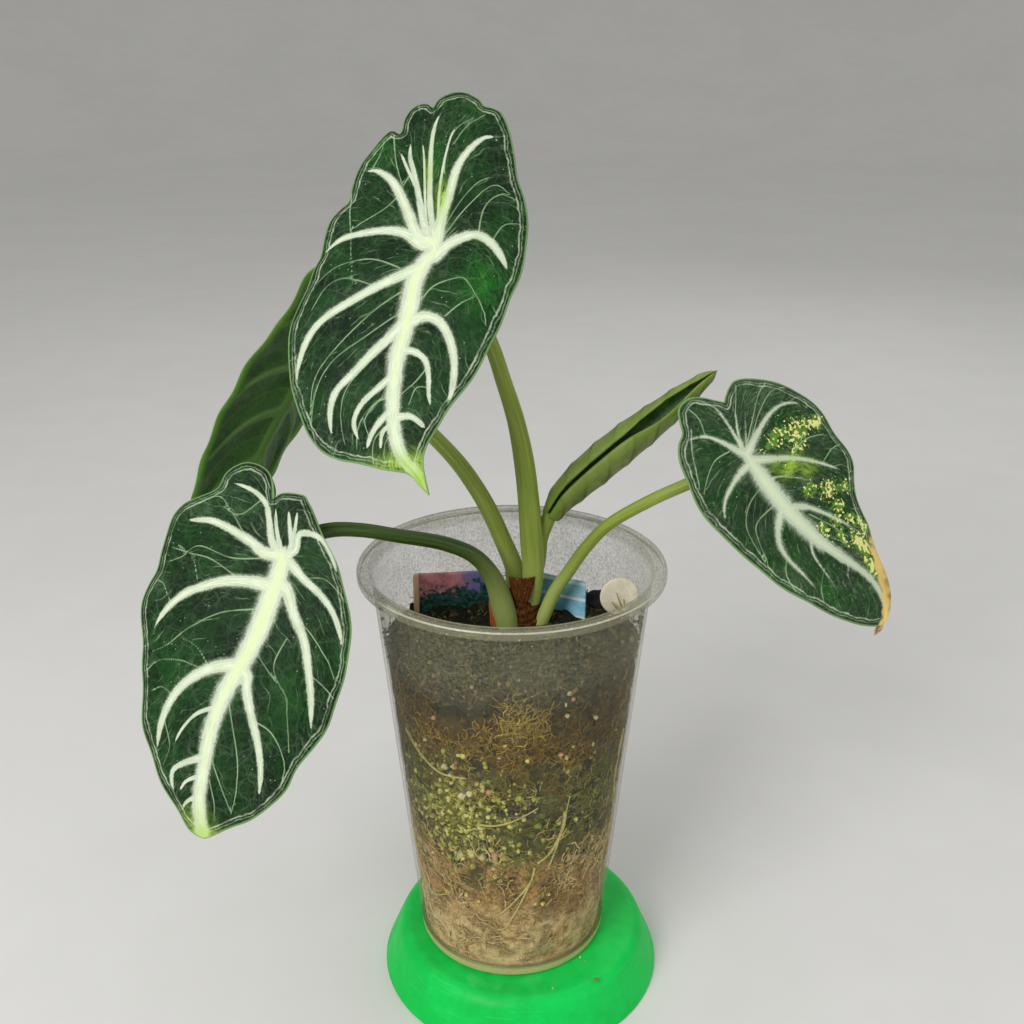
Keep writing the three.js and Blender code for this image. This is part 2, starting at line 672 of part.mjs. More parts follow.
// A block on the +z side of a frame's plane, drop below it: a stalk cut with it ends flat there.
function endBlock(matrix, drop) {
  const [width, height] = [60, 30];
  const block = new THREE.BoxGeometry(width, width, height).translate(0, 0, height / 2 - drop);
  return solidOf(block.applyMatrix4(matrix));
}

// What a stalk is cut back with, so that it ends just clear of the blade's underside.
const bladeClearance = (blade) =>
  endBlock(bladeMatrix(blade), LEAF.thickness + LEAF.groove + LEAF.midribDepth + GAP);

// The new leaf, still rolled: a sheet that follows a curved axis, rolled round it with a slot facing the light.
const ROLLED = {
  axis: [
    [11.8, 8.2, 164], [16.9, 9, 171.3], [25.5, 10.5, 179.3], [36, 12.4, 187.8], [45.2, 14, 194.8],
    [54.3, 16, 202], [63.1, 18, 208.3],
  ],
  radii: [3, 4.9, 5.9, 5.8, 5, 3.5, 1.3],
  slot: [-0.25, -0.85, 0.47],
  from: 24,
  to: 338,
  tuck: 0.24,
  thickness: 0.8,
};

const rolledAxis = () => new THREE.CatmullRomCurve3(ROLLED.axis.map((p) => new THREE.Vector3(...p)));

// The rolled leaf's own stalk ends square to the roll, just clear of its open end.
function rolledClearance() {
  const path = rolledAxis();
  const tangent = path.getTangent(0);
  const turn = new THREE.Quaternion().setFromUnitVectors(new THREE.Vector3(0, 0, 1), tangent);
  return endBlock(new THREE.Matrix4().makeRotationFromQuaternion(turn).setPosition(path.getPoint(0)), GAP);
}

function rolledSolid() {
  const along = 16;
  const around = 14;
  const path = rolledAxis();
  const radii = new THREE.CatmullRomCurve3(ROLLED.radii.map((r, i) => new THREE.Vector3(i, r, 0)));
  const rows = [];
  for (let i = 0; i <= along; i++) {
    const share = i / along;
    const centre = path.getPoint(share);
    const tangent = path.getTangent(share);
    const slot = new THREE.Vector3(...ROLLED.slot);
    slot.addScaledVector(tangent, -slot.dot(tangent)).normalize();
    const side = new THREE.Vector3().crossVectors(slot, tangent);
    const radius = radii.getPoint(share).y;
    const ring = (extra) =>
      Array.from({ length: around + 1 }, (_, j) => {
        const turn = ROLLED.from + ((ROLLED.to - ROLLED.from) * j) / around;
        const tucked = 1 - ROLLED.tuck * max(0, 1 - (turn - ROLLED.from) / 110) ** 2;
        const reach = radius * tucked + extra;
        const angle = (turn * PI) / 180;
        return centre
          .clone()
          .addScaledVector(slot, reach * cos(angle))
          .addScaledVector(side, reach * sin(angle));
      });
    const wall = min(ROLLED.thickness, 0.55 * radius);
    rows.push([...ring(0), ...ring(-wall).reverse()]);
  }
  return lofted(rows, stripCap);
}

// Labels

// An upright card between two places in the cup, standing in the soil.
function labelSolid([x0, y0], [x1, y1], extra = 0) {
  const length = Math.hypot(x1 - x0, y1 - y0) + 2 * extra;
  const height = LABEL.top - LABEL.bottom + 2 * extra;
  const card = new THREE.BoxGeometry(length, LABEL.thickness + 2 * extra, height);
  card.rotateZ(Math.atan2(y1 - y0, x1 - x0));
  card.translate((x0 + x1) / 2, (y0 + y1) / 2, (LABEL.top + LABEL.bottom) / 2);
  return solidOf(card);
}

const PICTURE_CARD = [[-32.3, 13.9], [-6.5, 17]];
const STRIPED_CARD = [[9.6, 15], [23.8, 7.7]];

// A small round tag that stands on its edge in the soil beside the cup's wall.
function roundTagSolid(extra = 0) {
  const { radius, thickness, centre, lean, yaw } = ROUND_TAG;
  const half = thickness / 2 + extra;
  const disc = turned([[0, -half], [radius + extra, -half], [radius + extra, half], [0, half]], 28);
  return disc
    .rotate([90 - lean, 0, 0])
    .rotate([0, 0, yaw])
    .translate(centre);
}

// Assembly

const cardSolid = (ends, extra) => labelSolid(ends[0], ends[1], extra);

function assemble() {
  const plant = new THREE.Group();
  const add = (...pieces) => plant.add(...pieces);

  const crownRoom = crownSolid(GAP);
  const placed = [crownRoom];
  const stems = {};
  for (const [name, points] of Object.entries(STALKS)) {
    const end = name === "new" ? rolledClearance() : bladeClearance(BLADES[name]);
    stems[name] = cut(stalk(points), [...placed, end]);
    placed.push(stalk(points, GAP));
  }
  const frontScale = cut(scaleSolid(FRONT_SCALE), placed);
  const lowScale = cut(scaleSolid(LOW_SCALE), placed);
  const scaleRooms = [FRONT_SCALE, LOW_SCALE].map((scale) =>
    scaleSolid({ ...scale, radius: scale.radius - GAP, thickness: scale.thickness + 2 * GAP, depth: scale.depth + GAP }),
  );

  add(meshOf("saucer", saucerSolid(), 0x1fd257, 0.45));
  add(meshOf("cup", cupSolid(), 0xb9b6a4, 0.35, { transparent: true, opacity: 0.45 }));
  const holes = [
    ...placed,
    ...scaleRooms,
    cardSolid(PICTURE_CARD, GAP),
    cardSolid(STRIPED_CARD, GAP),
    roundTagSolid(GAP),
  ];
  add(meshOf("soil", cut(soilSolid(), holes), SOIL_COLOUR, 0.95));
  add(meshOf("crown", crownSolid(), 0x6e4a22, 0.8));
  add(meshOf("scale_front", frontScale, 0x7a3d18, 0.8));
  add(meshOf("scale_low", lowScale, 0xa8602a, 0.8));
  for (const [name, solid] of Object.entries(stems)) {
    add(meshOf(`stalk_${name}`, solid, name === "left" ? 0x2f4f18 : PALE_STALK, 0.5));
  }
  for (const [name, blade] of Object.entries(BLADES)) {
    const leaf = meshOf(`leaf_${name}`, bladeSolid(blade), DARK_LEAF, 0.6);
    leaf.applyMatrix4(bladeMatrix(blade));
    add(leaf);
  }
  add(meshOf("leaf_rolled", rolledSolid(), 0x8fae3c, 0.5));
  add(meshOf("label_picture", cardSolid(PICTURE_CARD), 0xb87f86, 0.5));
  add(meshOf("label_striped", cardSolid(STRIPED_CARD), 0x8fc6da, 0.5));
  add(meshOf("tag_round", roundTagSolid(), 0xe4dcc2, 0.6));
  return plant;
}

const plant = assemble();
plant.updateMatrixWorld(true);
const box = new THREE.Box3().setFromObject(plant, true);
plant.position.set(-(box.min.x + box.max.x) / 2, -(box.min.y + box.max.y) / 2, -box.min.z);

export default plant;
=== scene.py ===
"""Surfaces, finishes, floor, light and camera of a variegated alocasia in a clear cup on an upturned saucer.

Shapes are worked out in millimetres about the cup's own axis, with z = 0 where the saucer stands. They are
put into the frame's metres when a piece is made.
"""

import itertools
import math

import bpy
import numpy as np
from bpy.props import FloatProperty, FloatVectorProperty, IntProperty, PointerProperty
from mathutils import Matrix, Vector


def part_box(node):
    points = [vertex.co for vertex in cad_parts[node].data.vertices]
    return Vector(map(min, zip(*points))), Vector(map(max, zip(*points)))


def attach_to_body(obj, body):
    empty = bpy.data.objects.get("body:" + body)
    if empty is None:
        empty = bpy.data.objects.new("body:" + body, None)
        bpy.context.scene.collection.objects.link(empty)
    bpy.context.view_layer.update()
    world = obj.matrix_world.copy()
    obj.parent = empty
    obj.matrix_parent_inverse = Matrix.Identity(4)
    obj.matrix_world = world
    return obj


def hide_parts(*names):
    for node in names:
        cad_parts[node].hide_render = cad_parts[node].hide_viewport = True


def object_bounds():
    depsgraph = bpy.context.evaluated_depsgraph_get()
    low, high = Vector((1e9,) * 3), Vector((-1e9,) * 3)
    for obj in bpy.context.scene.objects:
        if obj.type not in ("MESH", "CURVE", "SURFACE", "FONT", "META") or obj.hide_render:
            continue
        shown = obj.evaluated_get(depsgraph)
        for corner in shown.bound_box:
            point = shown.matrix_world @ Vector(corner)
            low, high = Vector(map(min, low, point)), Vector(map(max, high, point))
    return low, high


bl_info = {
    "name": "Potted alocasia",
    "version": (1, 0, 0),
    "blender": (4, 5, 0),
    "location": "3D View > Sidebar > Alocasia",
    "description": "Veined blades, stalks, cup, moss and labels of a potted alocasia",
    "category": "Add Mesh",
}

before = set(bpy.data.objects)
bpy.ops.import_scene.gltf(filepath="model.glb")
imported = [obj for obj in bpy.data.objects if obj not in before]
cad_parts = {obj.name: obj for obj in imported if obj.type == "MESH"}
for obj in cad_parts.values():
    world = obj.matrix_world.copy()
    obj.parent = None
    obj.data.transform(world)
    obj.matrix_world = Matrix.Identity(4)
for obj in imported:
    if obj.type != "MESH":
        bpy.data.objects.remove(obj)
cad_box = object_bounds()

# Metres in a millimetre, and the steps in a millimetre to which points have to agree to be joined
MM = 0.001
MERGE_STEPS = 1e4
CUP_LOW, CUP_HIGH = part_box("cup")
SAUCER_LOW, SAUCER_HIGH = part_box("saucer")
AXIS = np.array([(CUP_LOW.x + CUP_HIGH.x) / 2, (CUP_LOW.y + CUP_HIGH.y) / 2, 0.0])


def tone(red, green, blue):
    """A colour as it shows on a screen, 0 to 255, turned into linear light by undoing the sRGB curve."""
    share = np.array([red, green, blue]) / 255
    linear = np.where(share <= 0.04045, share / 12.92, ((share + 0.055) / 1.055) ** 2.4)
    return tuple(float(value) for value in linear)


def colour(label, description, red, green, blue):
    """A colour that a user may change, given as it shows on a screen."""
    default = tone(red, green, blue)
    return FloatVectorProperty(name=label, description=description, subtype="COLOR", default=default)


def measure(label, description, default, **limits):
    """A number that a user may change."""
    return FloatProperty(name=label, description=description, default=default, **limits)


def amount(label, description, default, **limits):
    """A whole number that a user may change."""
    return IntProperty(name=label, description=description, default=default, **limits)


# Sizes in millimetres

SAUCER = {"foot": 48.2, "top": 42.3, "shoulder": 2.6, "wall": 2.0}
SAUCER["height"] = (SAUCER_HIGH.z - SAUCER_LOW.z) / MM
SAUCER["centre"] = ((SAUCER_LOW.x + SAUCER_HIGH.x) / 2 - AXIS[0]) / MM

CUP = {"foot": 31.3, "mouth": 43.9, "flange": 48.0, "drop": 2.9, "wall": 0.9}
CUP["base"] = CUP_LOW.z / MM
CUP["height"] = (CUP_HIGH.z - CUP_LOW.z) / MM
CUP["taper"] = (CUP["mouth"] - CUP["foot"]) / CUP["height"]
CUP["floor"] = 3.2

SOIL_LEVEL = 128.6

# Heights over which the haze above the filling, the lip's haze, partly a painted highlight, and the stalks'
# pale base fade
HEADSPACE = (118.0, 134.0)
LIP = (147.5, 150.0)
STALK_BASE = (132.0, 162.0)

CROWN = {"x": 3.2, "y": 7.0, "bottom": 113.0, "top": 142.0, "radius": 6.4}

# Blades, drawn flat: u to the viewer's right, v towards the lobes, the stalk's end at 0, 0. The spine runs
# from the notch through the stalk's end to the tip, and left and right are the margins between the same two
# points. A vein is its width at the start and at the end, how many of its points shape the surface, and its
# points. Streaks are veins that only colour the surface, threads are hair-thin ones. A patch is u, v, its
# reach across and along, and its strength.
TOP_BLADE = {
    "attach": (-21.1, -10, 249.9),
    "tip": (0.02, -0.66, -0.75),
    "face": (-0.14, -0.76, 0.62),
    "arch": (0.0011, 0.0016),
    "camber": (0.003, 0.0065),
    "midrib": (3.4, 4.6, 4.6, 4.2, 3.6, 3.2, 2.8, 2.6),
    "spine": [
        (-1.2, 49), (-2.2, 43), (-2.4, 34), (-2.2, 22), (-1.4, 10), (0, 0), (-2.7, -4), (-5.5, -9.5),
        (-6.8, -16.8), (-8.6, -25), (-10.5, -32.3), (-11.4, -40.5), (-11.6, -47.7), (-10.9, -54),
        (-9, -59.5), (-5.5, -64), (-2.3, -69.7),
    ],
    "left": [
        (-1.2, 49), (-3, 50.6), (-5.5, 50.6), (-8.2, 49), (-9.9, 46), (-10.3, 42.5), (-11, 40.6),
        (-12.2, 41.6), (-13.8, 41.8), (-17.3, 38.6), (-21, 34), (-22.7, 29.5), (-24.5, 23.2),
        (-25.3, 19.5), (-27.7, 17.2), (-30.5, 13.2), (-32.3, 7.7), (-33.2, 2.7), (-34.5, -0.5),
        (-36.4, -6), (-39.5, -11.4), (-41.4, -17.7), (-42, -26), (-40.9, -34), (-38.6, -42.3),
        (-35.5, -49.5), (-31.8, -54.5), (-27.3, -57.3), (-22.7, -59), (-15.5, -61.4), (-10, -62.7),
        (-7.3, -64), (-4.5, -67.3), (-2.3, -69.7),
    ],
    "right": [
        (-1.2, 49), (0.5, 52), (4.5, 54.5), (8.2, 54.5), (11.8, 51.4), (13.6, 48.2), (16.4, 47.3),
        (18.6, 45.5), (20.5, 39.5), (21.8, 31.4), (22.7, 22.3), (24.5, 15), (25.2, 7.7), (24.5, -1.4),
        (22.7, -9.5), (20, -16.8), (16.8, -25), (12.7, -34), (7.3, -42.3), (1.8, -49.5), (-2.3, -55.9),
        (-3.6, -60.5), (-3.2, -65), (-2.3, -69.7),
    ],
    "veins_left": [
        (1.7, 0.8, 4, [(-2.7, 6), (-4.5, 16.8), (-6, 25), (-7.5, 32), (-7.2, 40)]),
        (3.0, 1.4, 6, [(-4.5, 4), (-7.3, 11.4), (-10, 18.6), (-12.7, 24), (-16.4, 27.7), (-19.5, 28.6),
                       (-22.3, 27.7)]),
        (2.7, 1.1, 6, [(-3.6, 1.4), (-8.2, 5.5), (-13.6, 7.3), (-20, 7.7), (-26.4, 7.3), (-30.5, 5),
                       (-33.2, 2.3)]),
        (2.6, 1.2, 7, [(-4.5, -6), (-10, -7.7), (-16.4, -10), (-22.7, -12.7), (-30, -16), (-34.5, -19.5),
                       (-37.7, -25), (-39, -31.4), (-38.4, -38)]),
        (2.7, 0.9, 7, [(-7.3, -20.5), (-11.8, -25), (-17.3, -29.5), (-22.7, -34.5), (-27.3, -38.6),
                       (-29, -43.2), (-29, -48.6), (-28, -54)]),
        (1.6, 0.8, 5, [(-10.9, -36), (-15.5, -39.5), (-20, -43.2), (-22.3, -47.7), (-21.4, -52.3),
                       (-19.5, -55)]),
        (1.5, 0.8, 3, [(-11.8, -46), (-15, -48.7), (-17.6, -52.4), (-19, -57)]),
    ],
    "veins_right": [
        (2.6, 1.3, 7, [(0.5, 3), (2, 10), (4, 17), (6, 25.5), (9, 31.5), (13, 36), (16, 36.5), (19, 32.5)]),
        (2.8, 1.5, 7, [(0, -2.5), (3.5, 0.5), (8, 2.7), (11.8, 3.2), (15.5, 0.5), (18.2, -4), (19.8, -8.6)]),
        (2.5, 1.0, 6, [(-6.4, -21.4), (-2.7, -20.5), (1, -22.3), (3.6, -26.8), (5, -33.2), (4.8, -39.5),
                       (3.6, -45), (1, -48.6)]),
        (1.6, 0.7, 5, [(-9, -29.5), (-5.5, -30.5), (-2.7, -33.2), (-1.8, -37.7), (-1.8, -43.2), (-1, -48)]),
        (1.5, 0.8, 3, [(-10.9, -48.2), (-7.3, -48.2), (-4.8, -49.8), (-2.7, -52.3)]),
    ],
    "streaks": [
        (1.6, 0.7, [(0, 2), (-1.4, 14), (-1.5, 24), (-1.2, 37), (0.5, 45), (4.5, 51)]),
        (1.2, 0.5, [(-1, 2), (-3, 10), (-4.6, 18), (-8, 27), (-10.5, 34), (-12.5, 38)]),
        (0.8, 0.5, [(-12, -50), (-14.5, -52), (-15, -57)]),
        (0.7, 0.4, [(-1.5, 2), (-2.6, 12), (-3, 22), (-3.4, 31), (-4.4, 40)]),
        (0.7, 0.4, [(0.8, 3), (1, 12), (1.4, 20), (2.8, 30), (5, 39), (9, 45)]),
    ],
    "threads": [
        [(-3, -15), (0, -12), (5, -10.5), (8.2, -10.5), (10.9, -15), (13.2, -20.5), (13.6, -24)],
        [(-9, -12.5), (-20, -20), (-33, -33), (-35, -45)],
        [(-8, -18), (-18, -24), (-28, -30), (-33, -37), (-34.5, -46), (-33, -53)],
        [(-10, -5), (-18, -1.5), (-28, -2), (-34, -6)],
        [(-18, -9), (-26, -6), (-31, -8), (-35, -14)],
        [(2, 5), (8, 15), (12, 20), (15, 22)],
        [(3, 4), (10, 13), (16, 19), (20, 17), (22, 14)],
        [(12, 4), (14, 12), (18, 16), (21, 15)],
        [(16, 2), (19, 6), (23, 7)],
        [(-12.5, 40), (-11.4, 30), (-9, 20)],
        [(-24.6, 22), (-24.4, 12), (-23.6, 0), (-23, -8)],
        [(-9, -24), (-16, -30), (-24, -38), (-26, -46), (-25, -54)],
        [(-11, -40), (-15, -43), (-19, -48), (-18, -53)],
        [(3, -21), (7, -18), (11, -16)],
        [(2.5, 24), (3.2, 33), (6, 40), (11, 44)],
        [(-2, -35), (-5, -39), (-9, -42)],
        [(-1.6, -41), (-5, -41), (-7, -45)],
        [(5, 34), (9, 41), (14, 45)],
        [(-19, 28), (-16.5, 34), (-15, 39)],
        [(-11.5, -42), (-17, -44.5), (-21, -50), (-21.5, -56)],
        [(-11.6, -49.5), (-15, -51.5), (-17, -55), (-17, -60)],
        [(-11, -52.5), (-13.5, -54.5), (-14, -59)],
        [(-10.2, -56), (-12, -58), (-12, -61)],
        [(-7, 25), (-13, 15), (-23, 10)],
    ],
    "patches": {
        "emerald": [(13, -12, 5, 9, 0.9), (-17, 35, 5, 7, 0.6), (10, 47, 6, 5, 0.35), (0.5, 28, 2.4, 9, 0.6)],
        "lime": [(2, 15, 1.6, 6, 0.8), (-5, -66, 6, 5.5, 1.1), (-9, -61, 9, 3, 0.8), (-2, 24, 1.1, 6, 0.5)],
        "dark": [(-16, -32, 4, 4, 0.8), (-27, -36, 4, 3, 0.9), (-5, -34, 3, 5, 0.4)],
    },
}

LEFT_BLADE = {
    "attach": (-65.5, -35, 167.7),
    "tip": (-0.21, -0.46, -0.86),
    "face": (-0.2, -0.8, 0.48),
    "arch": (0.0012, 0.002),
    "camber": (0.0035, 0.0045),
    "midrib": (4.6, 6.0, 5.6, 5.0, 4.2, 3.8, 3.6, 3.4),
    "spine": [
        (-5.6, 17.4), (-4.4, 13.5), (-2.5, 9), (-0.5, 4), (1.4, 0), (0.5, -10), (-1, -20), (-4, -30),
        (-7, -38), (-9, -48), (-9.3, -58), (-9, -68), (-7.5, -74), (-5.5, -79),
    ],
    "left": [
        (-5.6, 17.4), (-7.3, 22), (-10, 24.8), (-14.5, 26.2), (-18.6, 25.5), (-22.7, 21.8), (-24.5, 17.3),
        (-30, 13.6), (-34.5, 10.6), (-37.7, 5.9), (-37.7, -2.3), (-38.2, -8.6), (-40, -13.6),
        (-40.6, -19.5), (-39.5, -25.5), (-36.8, -32.3), (-35, -39.5), (-33.2, -47.7), (-30.5, -55),
        (-25.5, -62.3), (-20, -69), (-14.5, -74), (-10, -77.7), (-5.5, -79),
    ],
    "right": [
        (-5.6, 17.4), (-4, 18.8), (-1.8, 19.5), (2.7, 19.7), (4.5, 18.2), (8.2, 14), (12.7, 8.2),
        (17.3, 2.3), (20.9, -4), (23.6, -10.5), (25.3, -16.8), (25.6, -24), (25, -33), (24, -40.5),
        (20.9, -47.7), (17.7, -54), (15.5, -60.5), (11.8, -66), (7.3, -70.5), (1.8, -74), (-2.7, -77.3),
        (-5.5, -79),
    ],
    "veins_left": [
        (1.8, 0.6, 6, [(-2.7, 5), (-5.5, 11.4), (-7.3, 15), (-11, 17.7), (-15.5, 19), (-20, 19.5),
                       (-22.5, 19)]),
        (2.7, 0.9, 6, [(-4.5, 1.8), (-9, 4), (-13.6, 5.5), (-18, 6.8), (-23.6, 7.7), (-29, 7), (-34, 6.2)]),
        (3.0, 1.3, 7, [(-3.6, -6.8), (-10, -7.3), (-15.5, -8.6), (-21, -11), (-26.4, -14), (-31, -18.6),
                       (-34, -23.6), (-35.2, -28)]),
        (3.0, 1.2, 6, [(-5.5, -30.5), (-11, -31.8), (-16.4, -35), (-21, -39.5), (-24, -45), (-25.5, -51.4),
                       (-25.5, -57.7), (-25, -61)]),
        (1.6, 0.7, 3, [(-11, -57.7), (-15.5, -60), (-18.6, -62.7), (-18.4, -66), (-16.5, -69.5)]),
    ],
    "veins_right": [
        (1.8, 0.6, 4, [(4.5, 4), (4.5, 8.6), (8, 9.5), (11.8, 8.2), (15.5, 4), (19, -2)]),
        (2.1, 0.8, 5, [(3.6, 0.5), (9, -3.2), (14.5, -6.4), (19, -10.5), (22.3, -16), (23.8, -21)]),
        (2.8, 1.0, 6, [(4.5, -6.8), (8.2, -13), (12.7, -19.5), (15.5, -26.8), (17.7, -34), (19, -40.5),
                       (20, -46)]),
        (2.6, 1.0, 6, [(-1.8, -32.3), (-0.5, -36.8), (2.3, -43), (5.5, -49.5), (7.7, -56), (8.6, -62),
                       (8.6, -66)]),
    ],
    "streaks": [
        (1.5, 0.6, [(3.6, 3), (1, 11.4), (-0.5, 16)]),
        (1.3, 0.5, [(1, 2), (-2.5, 9), (-4.6, 15.5)]),
        (1.1, 0.5, [(2.5, 3), (3, 10), (2.4, 16)]),
        (0.9, 0.4, [(-9.3, -43), (-14.5, -46), (-18.2, -51.4), (-20, -57)]),
        (0.9, 0.4, [(-11, -63), (-14, -65), (-15.5, -68.5)]),
        (0.8, 0.4, [(-11, -69), (-13, -71), (-13.4, -73)]),
    ],
    "threads": [
        [(0.5, -26), (5, -30), (11, -35), (12.5, -40), (15, -50)],
        [(-5, -41), (-2, -48), (1, -56), (2, -64), (1.5, -70)],
        [(-7, -57), (-3, -63), (1.5, -70)],
        [(-6.5, -63), (-4, -68), (-3, -73)],
        [(-3, -14), (-13, -17), (-22, -23), (-28, -29), (-33, -32)],
        [(-12, -6), (-20, -3), (-28, -2.5), (-34, -2)],
        [(-5, 0), (-14, -1.5), (-25, 0), (-30, -4), (-34, -6)],
        [(-12, 6), (-17, 11), (-23, 15), (-29, 12)],
        [(-9, 16.5), (-14, 11), (-20, 12)],
        [(-22, -12), (-26, -4), (-32, -1)],
        [(-31, -17), (-34, -13), (-37, -12)],
        [(-14, -34), (-22, -32.5), (-30, -34), (-34, -38)],
        [(-23, -43), (-27, -41), (-31, -43)],
        [(7, -13), (14, -17), (20, -23), (23, -28)],
        [(9, -3), (15, -2), (21, -6)],
        [(15, -28), (20, -30), (24, -33)],
        [(3, -44), (9, -46), (14, -53), (14, -60)],
        [(-24.6, -50), (-21, -56), (-22, -62)],
        [(8, -20), (6, -28), (9, -33)],
        [(-13, -33), (-18, -28), (-25, -26)],
    ],
    "patches": {
        "emerald": [(-24, -40, 6, 10, 0.25), (12, -32, 6, 12, 0.2)],
        "lime": [(-6, -78, 5, 3.5, 0.9), (-9, -74, 5, 3, 0.4)],
        "dark": [(-14, -22, 9, 5, 0.35), (-3, -46, 2.5, 8, 0.3)],
        "grey": [(-35, -13.5, 3, 3, 0.7), (-28, 10, 5, 3, 0.45), (-20, 16, 6, 4, 0.3), (14, 6, 4, 6, 0.3)],
    },
}

